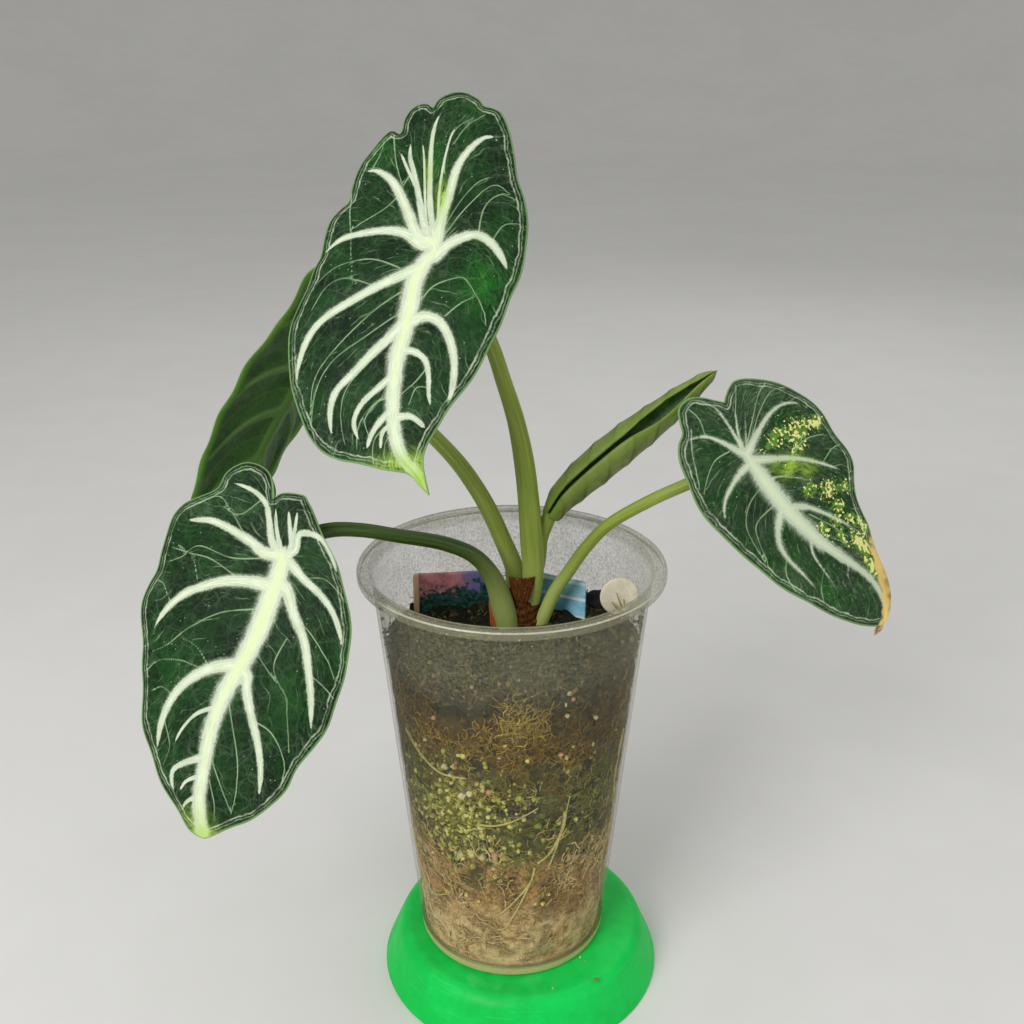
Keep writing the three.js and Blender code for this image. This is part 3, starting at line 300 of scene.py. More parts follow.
RIGHT_BLADE = {
    "attach": (69.5, -10, 188.9),
    "tip": (0.68, -0.26, -0.69),
    "face": (0, -0.78, 0.62),
    "arch": (0.003, 0.0025),
    "camber": (0.0065, 0.006),
    "midrib": (3.4, 5.4, 5.4, 4.6, 3.2, 2.4, 2.0, 1.6),
    "spine": [
        (6.5, 17.4), (4.8, 13.5), (2.8, 9), (1, 4), (0, 0), (-1, -8), (-1.5, -16), (-1, -24), (0, -31),
        (2, -38), (4, -44), (5.8, -50), (6.3, -55), (5.5, -60), (3.5, -63.5), (1, -65.8),
    ],
    "left": [
        (6.5, 17.4), (4.6, 19.8), (2.5, 22.8), (0, 25), (-2.8, 25.4), (-5.5, 24.6), (-8, 21.5), (-9.6, 19),
        (-12.5, 17.3), (-15.5, 13.5), (-18, 8), (-20, 2), (-21, -4), (-21, -10), (-20.2, -17),
        (-19.5, -23), (-18.3, -30), (-16.3, -37), (-14, -43), (-11.5, -49), (-8.8, -54.5), (-6, -59),
        (-3, -62.5), (-0.5, -64.8), (1, -65.8),
    ],
    "right": [
        (6.5, 17.4), (8.3, 18.5), (10.5, 19.4), (13.5, 19.8), (17, 18.2), (20.5, 15), (24, 10.5),
        (27, 5.5), (28.8, 0), (28.8, -6), (27.8, -12), (27.2, -18), (25.4, -23), (22, -27), (18.8, -31),
        (17, -35), (16, -40), (14.3, -44.5), (12.6, -48.5), (11.5, -53), (10.6, -57), (9, -60.5),
        (6.5, -63), (3.5, -64.8), (1, -65.8),
    ],
    "veins_left": [
        (2.0, 0.8, 4, [(-0.8, 4.2), (-2.5, 9.2), (-5, 13.8), (-9, 16.3), (-12, 16)]),
        (2.2, 0.9, 5, [(0, -0.8), (-5, -0.8), (-10, -2), (-14, -3.8), (-16.7, -6.7), (-18.2, -10)]),
        (2.4, 0.9, 6, [(-2.5, -17), (-7, -20), (-10, -24), (-10.8, -29), (-10.2, -35), (-9.7, -41),
                       (-9.5, -45)]),
        (1.4, 0.6, 5, [(-1, -29), (-3.8, -33), (-4.4, -39), (-4.6, -45), (-6, -50)]),
    ],
    "veins_right": [
        (2.1, 0.8, 6, [(1, 2), (5, 3.4), (10, 4.8), (15, 5.6), (20, 5), (24, 2.6), (26, -1), (27, -6)]),
        (2.3, 1.0, 6, [(1, -1), (5, -4), (9.5, -7.5), (13.5, -11.5), (17, -16), (20, -20.5), (22.5, -25)]),
        (2.0, 0.8, 5, [(0.5, -19), (4, -22), (7, -27), (9.5, -32), (12, -38), (13.5, -43)]),
    ],
    "streaks": [
        (1.6, 0.8, [(0, 3), (1.2, 6), (2.5, 12), (3, 18), (1, 22), (-2, 24.5)]),
        (1.4, 0.6, [(0.5, 3), (3, 8), (6, 12), (8, 16), (8.3, 18)]),
        (1.0, 0.5, [(1.5, 3), (7, 9), (12, 14), (16, 17.5)]),
        (1.0, 0.5, [(0.4, -29), (4, -34), (6.5, -39), (8, -43), (9, -50)]),
        (0.8, 0.5, [(1, -45), (-1, -51), (-1.5, -57)]),
        (0.8, 0.5, [(4.6, -45), (4, -52), (3, -58)]),
        (1.0, 0.5, [(0.5, -8), (4, -10), (9, -15.5), (12.5, -21), (14.5, -26)]),
        (0.9, 0.4, [(0, -35), (1.5, -42), (2.6, -50), (3, -57)]),
    ],
    "threads": [
        [(-3, -8), (-9, -9), (-14, -13), (-16, -20), (-17, -28)],
        [(-3, -14.5), (-11, -14.5), (-14, -18), (-16, -25)],
        [(1, 5), (5, 11), (10, 16), (13, 18.5)],
        [(2, 3.5), (9, 8), (16, 12), (21, 13)],
        [(5, 4), (12, 8), (20, 10), (25, 8)],
        [(-3, 6), (-8, 7), (-13, 5), (-17, 2)],
        [(-5, 14), (-3, 19), (-3, 23)],
        [(-7, 18), (-12, 12), (-17, 4)],
        [(3, -24), (6, -31), (8, -37)],
        [(-10.5, -28), (-14, -32), (-15, -38)],
        [(-4, -39), (-8, -42), (-10, -46)],
        [(17, -16), (22, -15), (26.5, -16)],
        [(10, -8), (17, -7), (24, -10)],
    ],
    "patches": {
        "cream": [
            (11, -0.5, 7, 3, 0.8), (17, -4, 7, 5, 0.85), (24.5, -6, 3, 2.6, 1.05), (14, -7, 5, 3, 0.75),
            (8, -18.5, 3.4, 2.6, 0.75), (13, -22.5, 4.5, 3, 0.95), (18, -26, 3.4, 2.2, 0.95),
            (12, -28, 3, 2.6, 0.75), (3.4, -30, 1.8, 4, 0.85), (8.6, -31, 2.2, 4, 0.85),
            (12.6, -34, 1.8, 3, 0.95), (14.6, -38, 1.6, 4, 1.1),
            (10.4, -41.5, 2.6, 5.5, 1.3), (8.6, -49, 1.6, 5, 1.2), (6.5, -36.5, 1.3, 4, 0.8),
        ],
        "lime": [
            (8, -9.5, 4, 2.4, 0.8), (12, -13.5, 3, 2.4, 0.6), (5.4, -6.6, 3, 2, 0.45), (11, -45, 3, 4, 0.35),
        ],
        "burn": [
            (14.2, -45, 1.8, 5, 0.6), (12.4, -49.5, 2.2, 5.5, 0.9), (11, -53.5, 2.6, 5.5, 1.1),
            (10, -57, 2.9, 4.6, 1.25), (8.4, -60.6, 3.4, 3, 1.25), (5.6, -63.4, 3.4, 2.2, 1.15),
            (2.2, -65.4, 3, 1.6, 1.0),
        ],
        "emerald": [(-7, -47, 3.5, 7, 0.5), (-8, -32, 2.5, 7, 0.3)],
        "grey": [(18, 12, 7, 4.5, 0.8), (-14, -36, 3.5, 7, 0.6), (-12, 6, 6, 6, 0.25), (0, 18, 4, 5, 0.25),
                 (2, -56, 3, 6, 0.4), (23, -14, 3, 5, 0.3)],
        "dark": [(-9, -11, 3.5, 4, 0.7), (-7, -6, 3, 2, 0.4), (-7, 7, 4, 5, 0.35), (-8, -23, 2, 2, 0.5)],
    },
}

BACK_BLADE = {
    "attach": (-62, 36, 212),
    "tip": (-0.54, -0.08, -0.83),
    "face": (-0.66, 0.7, 0.4),
    "arch": (0.0008, 0.002),
    "camber": (-0.01, 0.002),
    "midrib": (3.6, 4.8, 4.6, 4.0, 3.6, 3.0, 2.6, 2.2),
    "spine": [
        (0, 17), (0.2, 12), (0.2, 6), (0, 0), (0.3, -16), (0, -34), (-0.4, -52), (-0.4, -69), (0, -85),
    ],
    "left": [
        (0, 17), (-1.5, 22.5), (-5, 27.5), (-9, 29), (-13, 27), (-16.5, 22), (-18.5, 15), (-19, 6),
        (-18.5, -3), (-17.5, -12), (-15.8, -20), (-13.8, -29), (-12.8, -38), (-12.6, -47), (-11.6, -57),
        (-9.5, -67), (-6.5, -75), (-3, -81), (0, -85),
    ],
    "right": [
        (0, 17), (2, 24), (5.5, 29.5), (10, 32), (15, 30.8), (19, 26.5), (21.6, 20.5), (21.4, 13),
        (20.8, 5), (22, -2), (24, -9), (24.3, -20), (24.2, -31), (23.2, -40), (20.8, -51), (18.4, -60),
        (14, -69), (8.5, -77), (3.5, -82.5), (0, -85),
    ],
    "veins_left": [
        (2.4, 0.9, 4, [(-1, 4), (-4, 10), (-8, 16), (-12, 19), (-14.5, 19)]),
        (2.4, 0.9, 4, [(-1, 1), (-6, 4.5), (-11, 5.5), (-15, 5), (-17, 3)]),
        (2.4, 0.9, 4, [(-1, -6), (-6, -8), (-11, -12), (-14, -17), (-15, -21)]),
        (2.2, 0.8, 4, [(-1, -22), (-5, -25), (-8.5, -30), (-10.5, -37), (-11, -43)]),
        (2.0, 0.8, 4, [(-1, -41), (-4, -45), (-7, -52), (-8.5, -60), (-8.4, -64)]),
    ],
    "veins_right": [
        (2.6, 0.9, 4, [(1, 4), (4, 10), (8, 17), (13, 22), (17, 22)]),
        (2.6, 1.0, 4, [(1, 0), (6, 3.5), (12, 5), (17, 4), (20, 0)]),
        (2.8, 1.0, 4, [(1, -8), (7, -10), (14, -14), (20, -20), (22.4, -27)]),
        (2.6, 1.0, 4, [(1, -25), (7, -28), (13, -34), (18, -43), (19.4, -50)]),
        (2.2, 0.8, 4, [(1, -44), (6, -48), (10, -55), (12, -63), (12, -69)]),
    ],
    "streaks": [
        (1.4, 0.5, [(0, 3), (-1, 9), (-0.6, 15)]),
        (1.3, 0.5, [(0.4, 3), (1.6, 10), (3.6, 20), (6, 27)]),
        (1.2, 0.5, [(-0.4, 3), (-2, 10), (-4, 18), (-7, 25)]),
        (1.0, 0.4, [(-0.4, -60), (-3, -64), (-5, -71)]),
        (1.0, 0.4, [(-0.4, -60), (4, -65), (7, -73)]),
    ],
    "threads": [
        [(1, -4), (9, -5), (16, -6), (21, -11)],
        [(1, -16), (9, -20), (16, -27), (21, -36)],
        [(1, -34), (8, -39), (14, -47), (16, -56)],
        [(-1, -14), (-7, -17), (-12, -24), (-13, -31)],
        [(-1, -31), (-5, -35), (-8, -42), (-10, -50)],
        [(3, 2), (9, 10), (15, 14), (20, 13)],
        [(-2, 3), (-8, 10), (-14, 13), (-17, 12)],
        [(1, -52), (6, -58), (9, -67)],
    ],
    "patches": {
        "lime": [(0, -83, 4, 4, 0.9), (0.8, 12, 1.4, 4, 0.6)],
        "emerald": [(14, -38, 5, 9, 0.4)],
        "dark": [(8, -18, 5, 5, 0.3)],
    },
}

BLADES = {"top": TOP_BLADE, "left": LEFT_BLADE, "right": RIGHT_BLADE, "back": BACK_BLADE}

# Relief of the upper face: heights of the pillows between veins, the margin's wave and the roughness, depth
# and reach of the grooves over the veins, and the distance between two lanes of fine veins at the margin
SHEET = {
    "pillow": 0.6, "wave": 0.5, "wave_length": 17.0, "rough": 0.12, "rough_cell": 5.0, "groove": 0.4,
    "groove_reach": 1.4, "lane": 5.6,
}

# Side veins: the width above which one is a main vein, how far each kind runs on past its last point and
# widens at the spine, how far the widening reaches, the share of a drawn width that is solid, how far a vein
# draws back at its end, how far behind the stalk's end one may leave the spine, and what sets apart the
# lengths along two veins, so that their hairs differ
VEIN = {
    "main_width": 1.8, "main": (1.6, 1.3), "lesser": (0.6, 0.5), "flare_reach": 4, "solid": 0.88,
    "draw_back": 0.6, "behind": 2, "apart": 41,
}

# Draws the blades in a little, so that the thickness at their edges stays inside the CAD box
KEPT_IN = (0.9975, 0.9975, 1.0)

PATCH_KINDS = ("emerald", "lime", "dark", "grey", "cream", "burn")

# Patches that tint the ground: kind, colour and strength. The dark patches are painted shade in the blades'
# hollows; emerald, grey and lime are the blades' own colour.
PATCH_TONES = (
    ("dark", "ground_dark_and_shade", 1.0), ("emerald", "emerald", 0.85), ("grey", "grey", 0.6), ("lime", "lime", 0.9),
)

# Dried curl at the right blade's tip, drawn flat like the blade
CURL = {"start": (1.4, -65.2), "length": 4.0, "width": 2.8, "thickness": 0.35}

# Centre lines of the stalks from the crown to the blades, each point with its radius
STALKS = {
    "top": [
        (5.2, 7, 132, 3.5), (6.6, 3.5, 146, 3.4), (6, 3.3, 158, 3.5), (5.1, 5, 170.6, 3.3),
        (3.6, 6, 183.3, 3.1), (1.1, 6, 196.1, 2.7), (-2.6, 4, 209, 2.4), (-6, 1, 220.3, 2.3),
        (-11.8, -3.5, 234, 2.4), (-17, -7.2, 243.6, 2.6), (-21.6, -11, 251.4, 3),
    ],
    "new": [(5.5, 8, 137, 2.4), (8, 7.5, 148, 2.6), (9, 7.6, 157, 2.5), (12.2, 8.3, 165, 2.3)],
    "back": [
        (0.8, 8.5, 134, 3.2), (0.8, 9, 145, 3), (-2.9, 11, 154.5, 2.8), (-7.8, 14.5, 164.5, 2.75),
        (-12.7, 18, 171.8, 2.7), (-17.8, 21.5, 177.8, 2.6), (-25, 26, 184.2, 2.5), (-34.4, 29.5, 192.4, 2.4),
        (-44, 31, 200, 2.3), (-53, 31.4, 206.2, 2.3), (-60.6, 34.6, 211.2, 2.4),
    ],
    "right": [
        (7.2, 6.6, 121, 2.5), (9.9, 4, 130.4, 2.3), (13.4, 3, 140, 2.1), (17.6, 2, 147.5, 2),
        (23, 0, 157, 1.9), (29.8, -2, 165.6, 1.85), (41.3, -5, 174.2, 1.85), (52.6, -6.5, 180.4, 1.85),
        (62, -6.5, 184.6, 1.9), (69.6, -10.6, 189.3, 2),
    ],
    "left": [
        (-0.6, 4.6, 120, 4), (-1.9, 2, 130, 3.9), (-3.6, 0, 139.5, 3.5), (-6.6, -3, 149.2, 2.8),
        (-12, -6, 157, 2.4), (-21, -9, 162.2, 2.2), (-32.9, -15, 167, 2.1), (-43.7, -20, 171, 2.1),
        (-52.6, -24.5, 172.7, 2.2), (-60.4, -28.5, 170.8, 2.4), (-66, -36, 167.6, 2.6),
    ],
}

# The new leaf, rolled round a curved axis with its slot towards the light; angles in degrees from the slot
ROLLED = {
    "axis": [
        (11.8, 8.2, 164), (16.9, 9, 171.3), (25.5, 10.5, 179.3), (36, 12.4, 187.8), (45.2, 14, 194.8),
        (54.3, 16, 202), (63.1, 18, 208.3),
    ],
    "radii": [3, 4.9, 5.9, 5.8, 5, 3.5, 1.3],
    "slot": (-0.25, -0.85, 0.47),
    "from": 9,
    "to": 351,
    "gape": 20.0,
    "tuck": 0.24,
    "thickness": 0.6,
}

# Dry scales: part of a cone's wall about the crown, from one angle to another, pointed below
FRONT_SCALE = {
    "centre": (3.4, 6), "radius": 6.4, "from": -128, "to": -58, "top": 147, "depth": 10, "flare": 0.4,
}
LOW_SCALE = {
    "centre": (-1.6, 3), "radius": 4.7, "from": 172, "to": 232, "top": 137, "depth": 12, "flare": 0.5,
}

CARD = {"top": 141.5, "bottom": 119.0, "thickness": 0.7, "corner": 1.0, "bow": 0.25}
PICTURE_CARD = ((-32.3, 13.9), (-6.5, 17))
STRIPED_CARD = ((9.6, 15), (23.8, 7.7))

# White lines on the striped card, above its lower edge
STRIPES = (21.35, 15.9)
ROUND_TAG = {"radius": 6.3, "thickness": 1.1, "centre": (34.3, 5.5, 137.4), "lean": 4, "yaw": 8}

# Roots behind the cup's wall: radius at the thick end, then places as angle about the cup and height
WALL_ROOTS = [
    (0.65, [(-62.7, 82), (-63.4, 76), (-66, 71), (-70.4, 66.5), (-76.4, 63.5)]),
    (0.35, [(-107.2, 79), (-98, 79.5), (-88, 82), (-77.5, 86)]),
    (0.4, [(-78, 62), (-80.2, 56), (-88, 49), (-95, 44), (-101, 41)]),
    (0.35, [(-80.2, 56), (-85, 48), (-89.5, 42), (-93, 37.6), (-98, 36), (-106, 38)]),
    (0.3, [(-70.4, 61), (-66, 70), (-63, 80), (-61, 88)]),
    (0.5, [(-150, 104), (-138, 98), (-126, 95), (-112, 96)]),
    (0.5, [(-20, 100), (-24, 84), (-17, 66), (-26, 50), (-20, 34)]),
    (0.6, [(40, 110), (52, 92), (47, 72), (60, 55), (58, 34)]),
    (0.5, [(88, 118), (96, 100), (108, 84), (104, 60), (118, 42)]),
    (0.6, [(160, 108), (150, 88), (166, 70), (158, 48), (170, 30)]),
    (0.5, [(20, 60), (34, 48), (50, 42), (70, 44)]),
    (0.4, [(190, 60), (200, 46), (214, 40), (228, 44)]),
]

# Noise that pushes in the filling's side and noise that lifts its top: size, cell and seed
HOLLOWS = ((1.5, 6, 1), (1.2, 2.6, 2), (0.6, 1.1, 3))
LUMPS = ((0.9, 5, 7), (0.6, 2.2, 8), (0.3, 1, 9))

# Heights over which the filling turns from one colour to the next, from the foot up
BANDS = ((34.0, 50.0), (56.0, 68.0), (96.0, 106.0), (112.0, 124.0))

# Moss at the wall: piece, share of the strands, lowest and highest start, length, thickness, colours
MOSS = (
    ("moss_strands", 0.43, 80, 131, 4.6, 0.16, ((70, 46, 8), (134, 98, 22), (188, 154, 56))),
    ("moss_threads", 0.26, 46, 110, 4.2, 0.18, ((80, 76, 12), (138, 138, 38), (196, 196, 94))),
    ("moss_fibres", 0.31, 14, 82, 5.4, 0.2, ((172, 128, 66), (214, 178, 110), (244, 222, 162))),
)

# Light clump of moss in the dark band above
CLUMP = {"count": 170, "low": 107, "high": 129, "length": 5.5, "thick": 0.17, "about": np.radians([-93, -77])}

# Mossy heads: the share in a cluster, with the cluster's middle and spread as angle and height, and sizes;
# then heights and sizes of those all round, and the heights that none goes past
HEADS = {
    "share": 0.72, "turn": (np.radians(-117), 0.3), "height": (81, 11), "sizes": (0.35, 1.2),
    "heights_round": (44, 108), "sizes_round": (0.3, 0.8), "limits": (40, 110),
}

# Pale grains at the wall: height, angle about the cup in degrees, and size
PALE_BITS = (
    (126.1, -64.9, 0.9), (122.5, -66.5, 0.7), (124, -63, 0.6), (118.5, -65.5, 0.7), (104.6, -67.4, 0.8),
    (114.1, -49.4, 0.7), (115.1, -127, 0.8), (129.9, -106.7, 0.6), (97.5, -124.1, 1.5), (95.5, -120, 1.2),
    (99, -118, 1.1), (88.3, -114.6, 1.6), (90, -111, 1.2), (93.9, -104.4, 1.4), (92, -101, 1.0),
    (65.3, -123.6, 1.7), (64.6, -118, 1.5), (66, -112, 1.7), (65, -106, 1.5), (66.6, -99, 1.6),
    (66.3, -93.5, 1.4),
)

# Crumbs on the saucer (x, y and size), the dark lump beside the tag, and the sprig of moss in front of it
SAUCER_CRUMBS = ((22.9, -22.7, 0.5), (27.5, -33, 0.7), (13.3, -36.5, 0.45), (24.6, -24.2, 0.3))
# A dark rounded lump on the soil beside the tag, where a flat dark oval shows
DARK_LUMP = {"centre": (28, 18.5, 129.2), "radius": 4.0}
SPRIG = {
    "foot": (36.4, 3.4, 131),
    "tips": ((-3.2, -0.2, 8.6), (-0.8, 0.2, 6.4), (-4.6, 0.3, 5.2), (1.2, 0.2, 4.2), (-2.4, -0.6, 3.6)),
    "radius": 0.5,
}


# Curves, noise and meshes


def smooth_line(points, per_span=12):
    """Catmull-Rom curve: between two knots a cubic that leaves each along the line of its neighbours."""
    knots = np.array(points, float)
    last = len(knots) - 1
    index = np.append(np.repeat(np.arange(last), per_span), last - 1)
    t = np.append(np.tile(np.arange(per_span) / per_span, last), 1.0)[:, None]
    before, start = knots[np.maximum(index - 1, 0)], knots[index]
    end, after = knots[index + 1], knots[np.minimum(index + 2, last)]
    leave, arrive = (end - before) / 2, (after - start) / 2
    cubic = (2 * start - 2 * end + leave + arrive) * t**3
    return cubic + (3 * end - 3 * start - 2 * leave - arrive) * t**2 + leave * t + start


def lengths_along(points):
    """Length along a line of points from its start to each of them."""
    steps = np.linalg.norm(np.diff(points, axis=0), axis=1)
    return np.concatenate([[0.0], np.cumsum(steps)])


def read_at(places, marks, points):
    """Points at places along a line: each coordinate read straight between the line's own marks."""
    return np.stack([np.interp(places, marks, column) for column in points.T], -1)


class Line:
    """A smooth line that gives its point at a length along it."""

    def __init__(self, points, per_span=12):
        self.points = smooth_line(points, per_span)
        self.marks = lengths_along(self.points)
        self.length = self.marks[-1]

    def at(self, length):
        """Point at a length along the line."""
        return read_at(length, self.marks, self.points)

    def nearest(self, place):
        """Length along the line at its point nearest to a place."""
        _, run, _, _ = distance_to(np.array([place], float), self.points)
        return run[0]


def distance_to(places, line, block=24):
    """From each place to a line of straight pieces: the least distance, the length along the line there,
    the side (the sign of the cross product with the piece), and the share of the whole length."""
    starts, steps = line[:-1], np.diff(line, axis=0)
    lengths = np.maximum(np.linalg.norm(steps, axis=1), 1e-9)
    marks = np.concatenate([[0.0], np.cumsum(lengths)])
    best = np.full(len(places), np.inf)
    run = np.zeros(len(places))
    side = np.ones(len(places))
    for first in range(0, len(starts), block):
        a, step, size = (array[first : first + block] for array in (starts, steps, lengths))
        away = places[:, None] - a
        share = np.clip((away * step).sum(2) / size**2, 0, 1)
        gap = np.linalg.norm(away - share[..., None] * step, axis=2)
        pick = gap.argmin(1)
        rows = np.arange(len(places))
        nearer = gap[rows, pick] < best
        cross = step[:, 0] * away[..., 1] - step[:, 1] * away[..., 0]
        best = np.where(nearer, gap[rows, pick], best)
        run = np.where(nearer, marks[first + pick] + share[rows, pick] * size[pick], run)
        side = np.where(nearer, np.sign(cross[rows, pick] + 1e-12), side)
    return best, run, side, run / marks[-1]


def value_noise(places, cell, seed=0):
    """Smooth chance value from -1 to 1: hashed numbers on a lattice of the given cell, blended smoothly."""
    scaled = np.asarray(places, float) / cell
    low = np.floor(scaled).astype(np.int64)
    t = scaled - low
    t = t * t * (3 - 2 * t)
    total = np.zeros(len(scaled))
    for corner in itertools.product((0, 1), repeat=3):
        mixed = ((low + np.array(corner)) * np.array([73856093, 19349663, 83492791])).sum(1) + 977 * seed
        mixed = (mixed ^ (mixed >> 13)) * 1274126177
        value = ((mixed ^ (mixed >> 16)) & 0xFFFF) / 32767.5 - 1
        total += np.prod(np.where(corner, t, 1 - t), axis=1) * value
    return total


def unit(vectors):
    """Vectors divided by their lengths, with no length left at nothing."""
    vectors = np.asarray(vectors, float)
    return vectors / np.maximum(np.linalg.norm(vectors, axis=-1, keepdims=True), 1e-12)


def ease(value, low, high):
    """Smooth step from 0 at low to 1 at high: 3t^2 - 2t^3 of the share between them."""
    t = np.clip((value - low) / (high - low), 0, 1)
    return t * t * (3 - 2 * t)


def grid_quads(rows, columns, closed=False):
    """Corners of the squares of a grid of points, row by row; closed joins the last column to the first."""
    count = columns if closed else columns - 1
    row, column = np.meshgrid(np.arange(rows - 1), np.arange(count), indexing="ij")
    ahead = (column + 1) % columns
    near, far = row * columns, (row + 1) * columns
    return np.stack([near + column, near + ahead, far + ahead, far + column], -1).reshape(-1, 4)


def repeated(quads, count, stride):
    """The same squares for each of many like shapes, their numbers moved on by a stride each time."""
    return (quads[None] + (np.arange(count) * stride)[:, None, None]).reshape(-1, 4)


def merged(points, quads):
    """Joins points that lie in the same place to a ten-thousandth of a millimetre. A square that loses a
    corner by it turns into a triangle, and one that loses more is dropped. Gives which points stay, squares
    and triangles as places in the old list, and the new number of each old point."""
    keys = np.round(points * MERGE_STEPS).astype(np.int64)
    _, first, number = np.unique(keys, axis=0, return_index=True, return_inverse=True)
    number = number.reshape(-1)
    new = number[quads]
    same = [new[:, k] == new[:, (k + 1) % 4] for k in range(4)]
    crossed = (new[:, 0] == new[:, 2]) | (new[:, 1] == new[:, 3])
    lost = np.sum(same, axis=0)
    squares = quads[(lost == 0) & ~crossed]
    kept = [(0, 2, 3), (0, 1, 3), (0, 1, 2), (0, 1, 2)]
    triangles = np.concatenate([quads[(lost == 1) & same[k]][:, kept[k]] for k in range(4)])
    return first, squares, triangles, number


def outward(points, squares, triangles):
    """True where the faces enclose a positive volume: the sum of a . (b x c) over their triangles."""
    faces = np.concatenate([squares[:, [0, 1, 2]], squares[:, [0, 2, 3]], triangles])
    a, b, c = (points[faces[:, k]] for k in range(3))
    return (a * np.cross(b, c)).sum() > 0


def add_piece(name, points, quads, materials, nodes=(), fields=None, uv=None, second=None, sharp=None):
    """Makes a closed mesh from millimetre points and squares, on the frame's root body. fields are numbers
    for each point, uv a pair for each point, second marks the squares of the second material, sharp is an
    edge angle."""
    points = np.asarray(points, float)
    first, squares, triangles, number = merged(points, quads)
    mesh = bpy.data.meshes.new(name)
    if not outward(points - points.mean(0), squares, triangles):
        squares, triangles = squares[:, ::-1], triangles[:, ::-1]
    old = np.concatenate([squares.ravel(), triangles.ravel()])
    sizes = np.concatenate([np.full(len(squares), 4), np.full(len(triangles), 3)])
    place = points[first] * MM + AXIS
    mesh.vertices.add(len(first))
    mesh.vertices.foreach_set("co", place.astype(np.float32).ravel())
    mesh.loops.add(len(old))
    mesh.loops.foreach_set("vertex_index", number[old].astype(np.int32))
    mesh.polygons.add(len(sizes))
    mesh.polygons.foreach_set("loop_start", (np.cumsum(sizes) - sizes).astype(np.int32))
    if second is not None:
        lead = old[np.cumsum(sizes) - sizes]
        mesh.polygons.foreach_set("material_index", second[lead].astype(np.int32))
    mesh.update(calc_edges=True)
    for field, values in (fields or {}).items():
        attribute = mesh.attributes.new(field, "FLOAT", "POINT")
        attribute.data.foreach_set("value", np.asarray(values, np.float32)[first])
    if uv is not None:
        layer = mesh.uv_layers.new(name="UVMap")
        layer.data.foreach_set("uv", np.asarray(uv, np.float32)[old].ravel())
    mesh.polygons.foreach_set("use_smooth", np.ones(len(sizes), bool))
    if sharp is not None:
        mesh.set_sharp_from_angle(angle=math.radians(sharp))
    for material in materials:
        mesh.materials.append(material)
    mesh.update()
    piece = bpy.data.objects.new(name, mesh)
    bpy.context.scene.collection.objects.link(piece)
    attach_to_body(piece, "root")
    if nodes:
        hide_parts(*nodes)
    return piece


def turned(profile, segments, centre=(0.0, 0.0)):
    """Surface of revolution: each profile point (radius, height) carried once round the axis. Gives points,
    squares, and for each point its share round the axis and its length along the profile."""
    profile = np.array(profile, float)
    turn = np.linspace(0, 2 * np.pi, segments + 1)
    radius, height = profile[:, :1], profile[:, 1:]
    x, y = centre[0] + radius * np.cos(turn), centre[1] + radius * np.sin(turn)
    z = np.broadcast_to(height, x.shape)
    points = np.stack([x, y, z], -1)
    points[:, -1] = points[:, 0]
    uv = np.stack(np.broadcast_arrays(turn / (2 * np.pi), lengths_along(profile)[:, None]), -1)
    return points.reshape(-1, 3), grid_quads(*x.shape), uv.reshape(-1, 2)


def tubes(paths, radii, sides, up=(0.31, 0.53, 0.79)):
    """Round tubes along many paths of equal step count, paths[k][i] a point and radii[k][i] its radius. A
    ring is a circle square to the path, its first axis made from a fixed direction. The end rings shrink to
    a point, so each tube is closed."""
    paths, radii = np.asarray(paths, float), np.asarray(radii, float)
    ahead = unit(np.gradient(paths, axis=1))
    side = unit(np.cross(ahead, np.asarray(up, float)))
    top = np.cross(side, ahead)
    paths = np.concatenate([paths[:, :1], paths, paths[:, -1:]], 1)
    side, top = (np.concatenate([a[:, :1], a, a[:, -1:]], 1) for a in (side, top))
    radii = np.pad(radii, ((0, 0), (1, 1)))
    turn = np.linspace(0, 2 * np.pi, sides, endpoint=False)
    across = side[:, :, None] * np.cos(turn)[:, None] + top[:, :, None] * np.sin(turn)[:, None]
    rings = paths[:, :, None] + radii[..., None, None] * across
    count, steps = radii.shape
    quads = repeated(grid_quads(steps, sides, closed=True), count, steps * sides)
    strides = np.linalg.norm(np.diff(paths, axis=1), axis=2)
    along = np.pad(np.cumsum(strides, 1), ((0, 0), (1, 0)))
    uv = np.stack(np.broadcast_arrays(along[..., None], turn / (2 * np.pi)), -1)
    return rings.reshape(-1, 3), quads, uv.reshape(-1, 2)


def sheet(middle, thickness, border=3):
    """Thin sheet with rounded edges about a grid of middle points: front and back stand half the thickness
    off it along its normal, and the thickness falls to nothing over the outer grid lines as a quarter
    ellipse."""
    middle = np.asarray(middle, float)
    rows, columns = middle.shape[:2]
    normal = unit(np.cross(np.gradient(middle, axis=0), np.gradient(middle, axis=1)))
    steps_in = [np.minimum(np.arange(count), np.arange(count)[::-1]) for count in (rows, columns)]
    share = np.clip(np.minimum.outer(*steps_in) / border, 0, 1)
    half = 0.5 * thickness * np.sqrt(np.clip(1 - (1 - share) ** 2, 0, 1))
    front, back = middle + normal * half[..., None], middle - normal * half[..., None]
    points = np.concatenate([front.reshape(-1, 3), back.reshape(-1, 3)])
    quads = grid_quads(rows, columns)
    quads = np.concatenate([quads, quads[:, ::-1] + rows * columns])
    return points, quads, np.repeat([0, 1], rows * columns)


# Blades


def vein_knots(blade, side, spine, margin):
    """Where each shaping vein leaves the spine and meets the margin, with its line between the two."""
    knots = [(0.0, 0.0, None)]
    for _, _, shaping, points in blade["veins_" + side]:
        points = np.array(points[:shaping], float)
        run_on = points[-1] + 3 * unit(points[-1] - points[-2])
        start = max(spine.nearest(points[0]), knots[-1][0] + 1)
        end = max(margin.nearest(run_on), knots[-1][1] + 2)
        knots.append((start, end, Line([spine.at(start), *points[1:], margin.at(end)])))
    return [*knots, (spine.length, margin.length, None)]


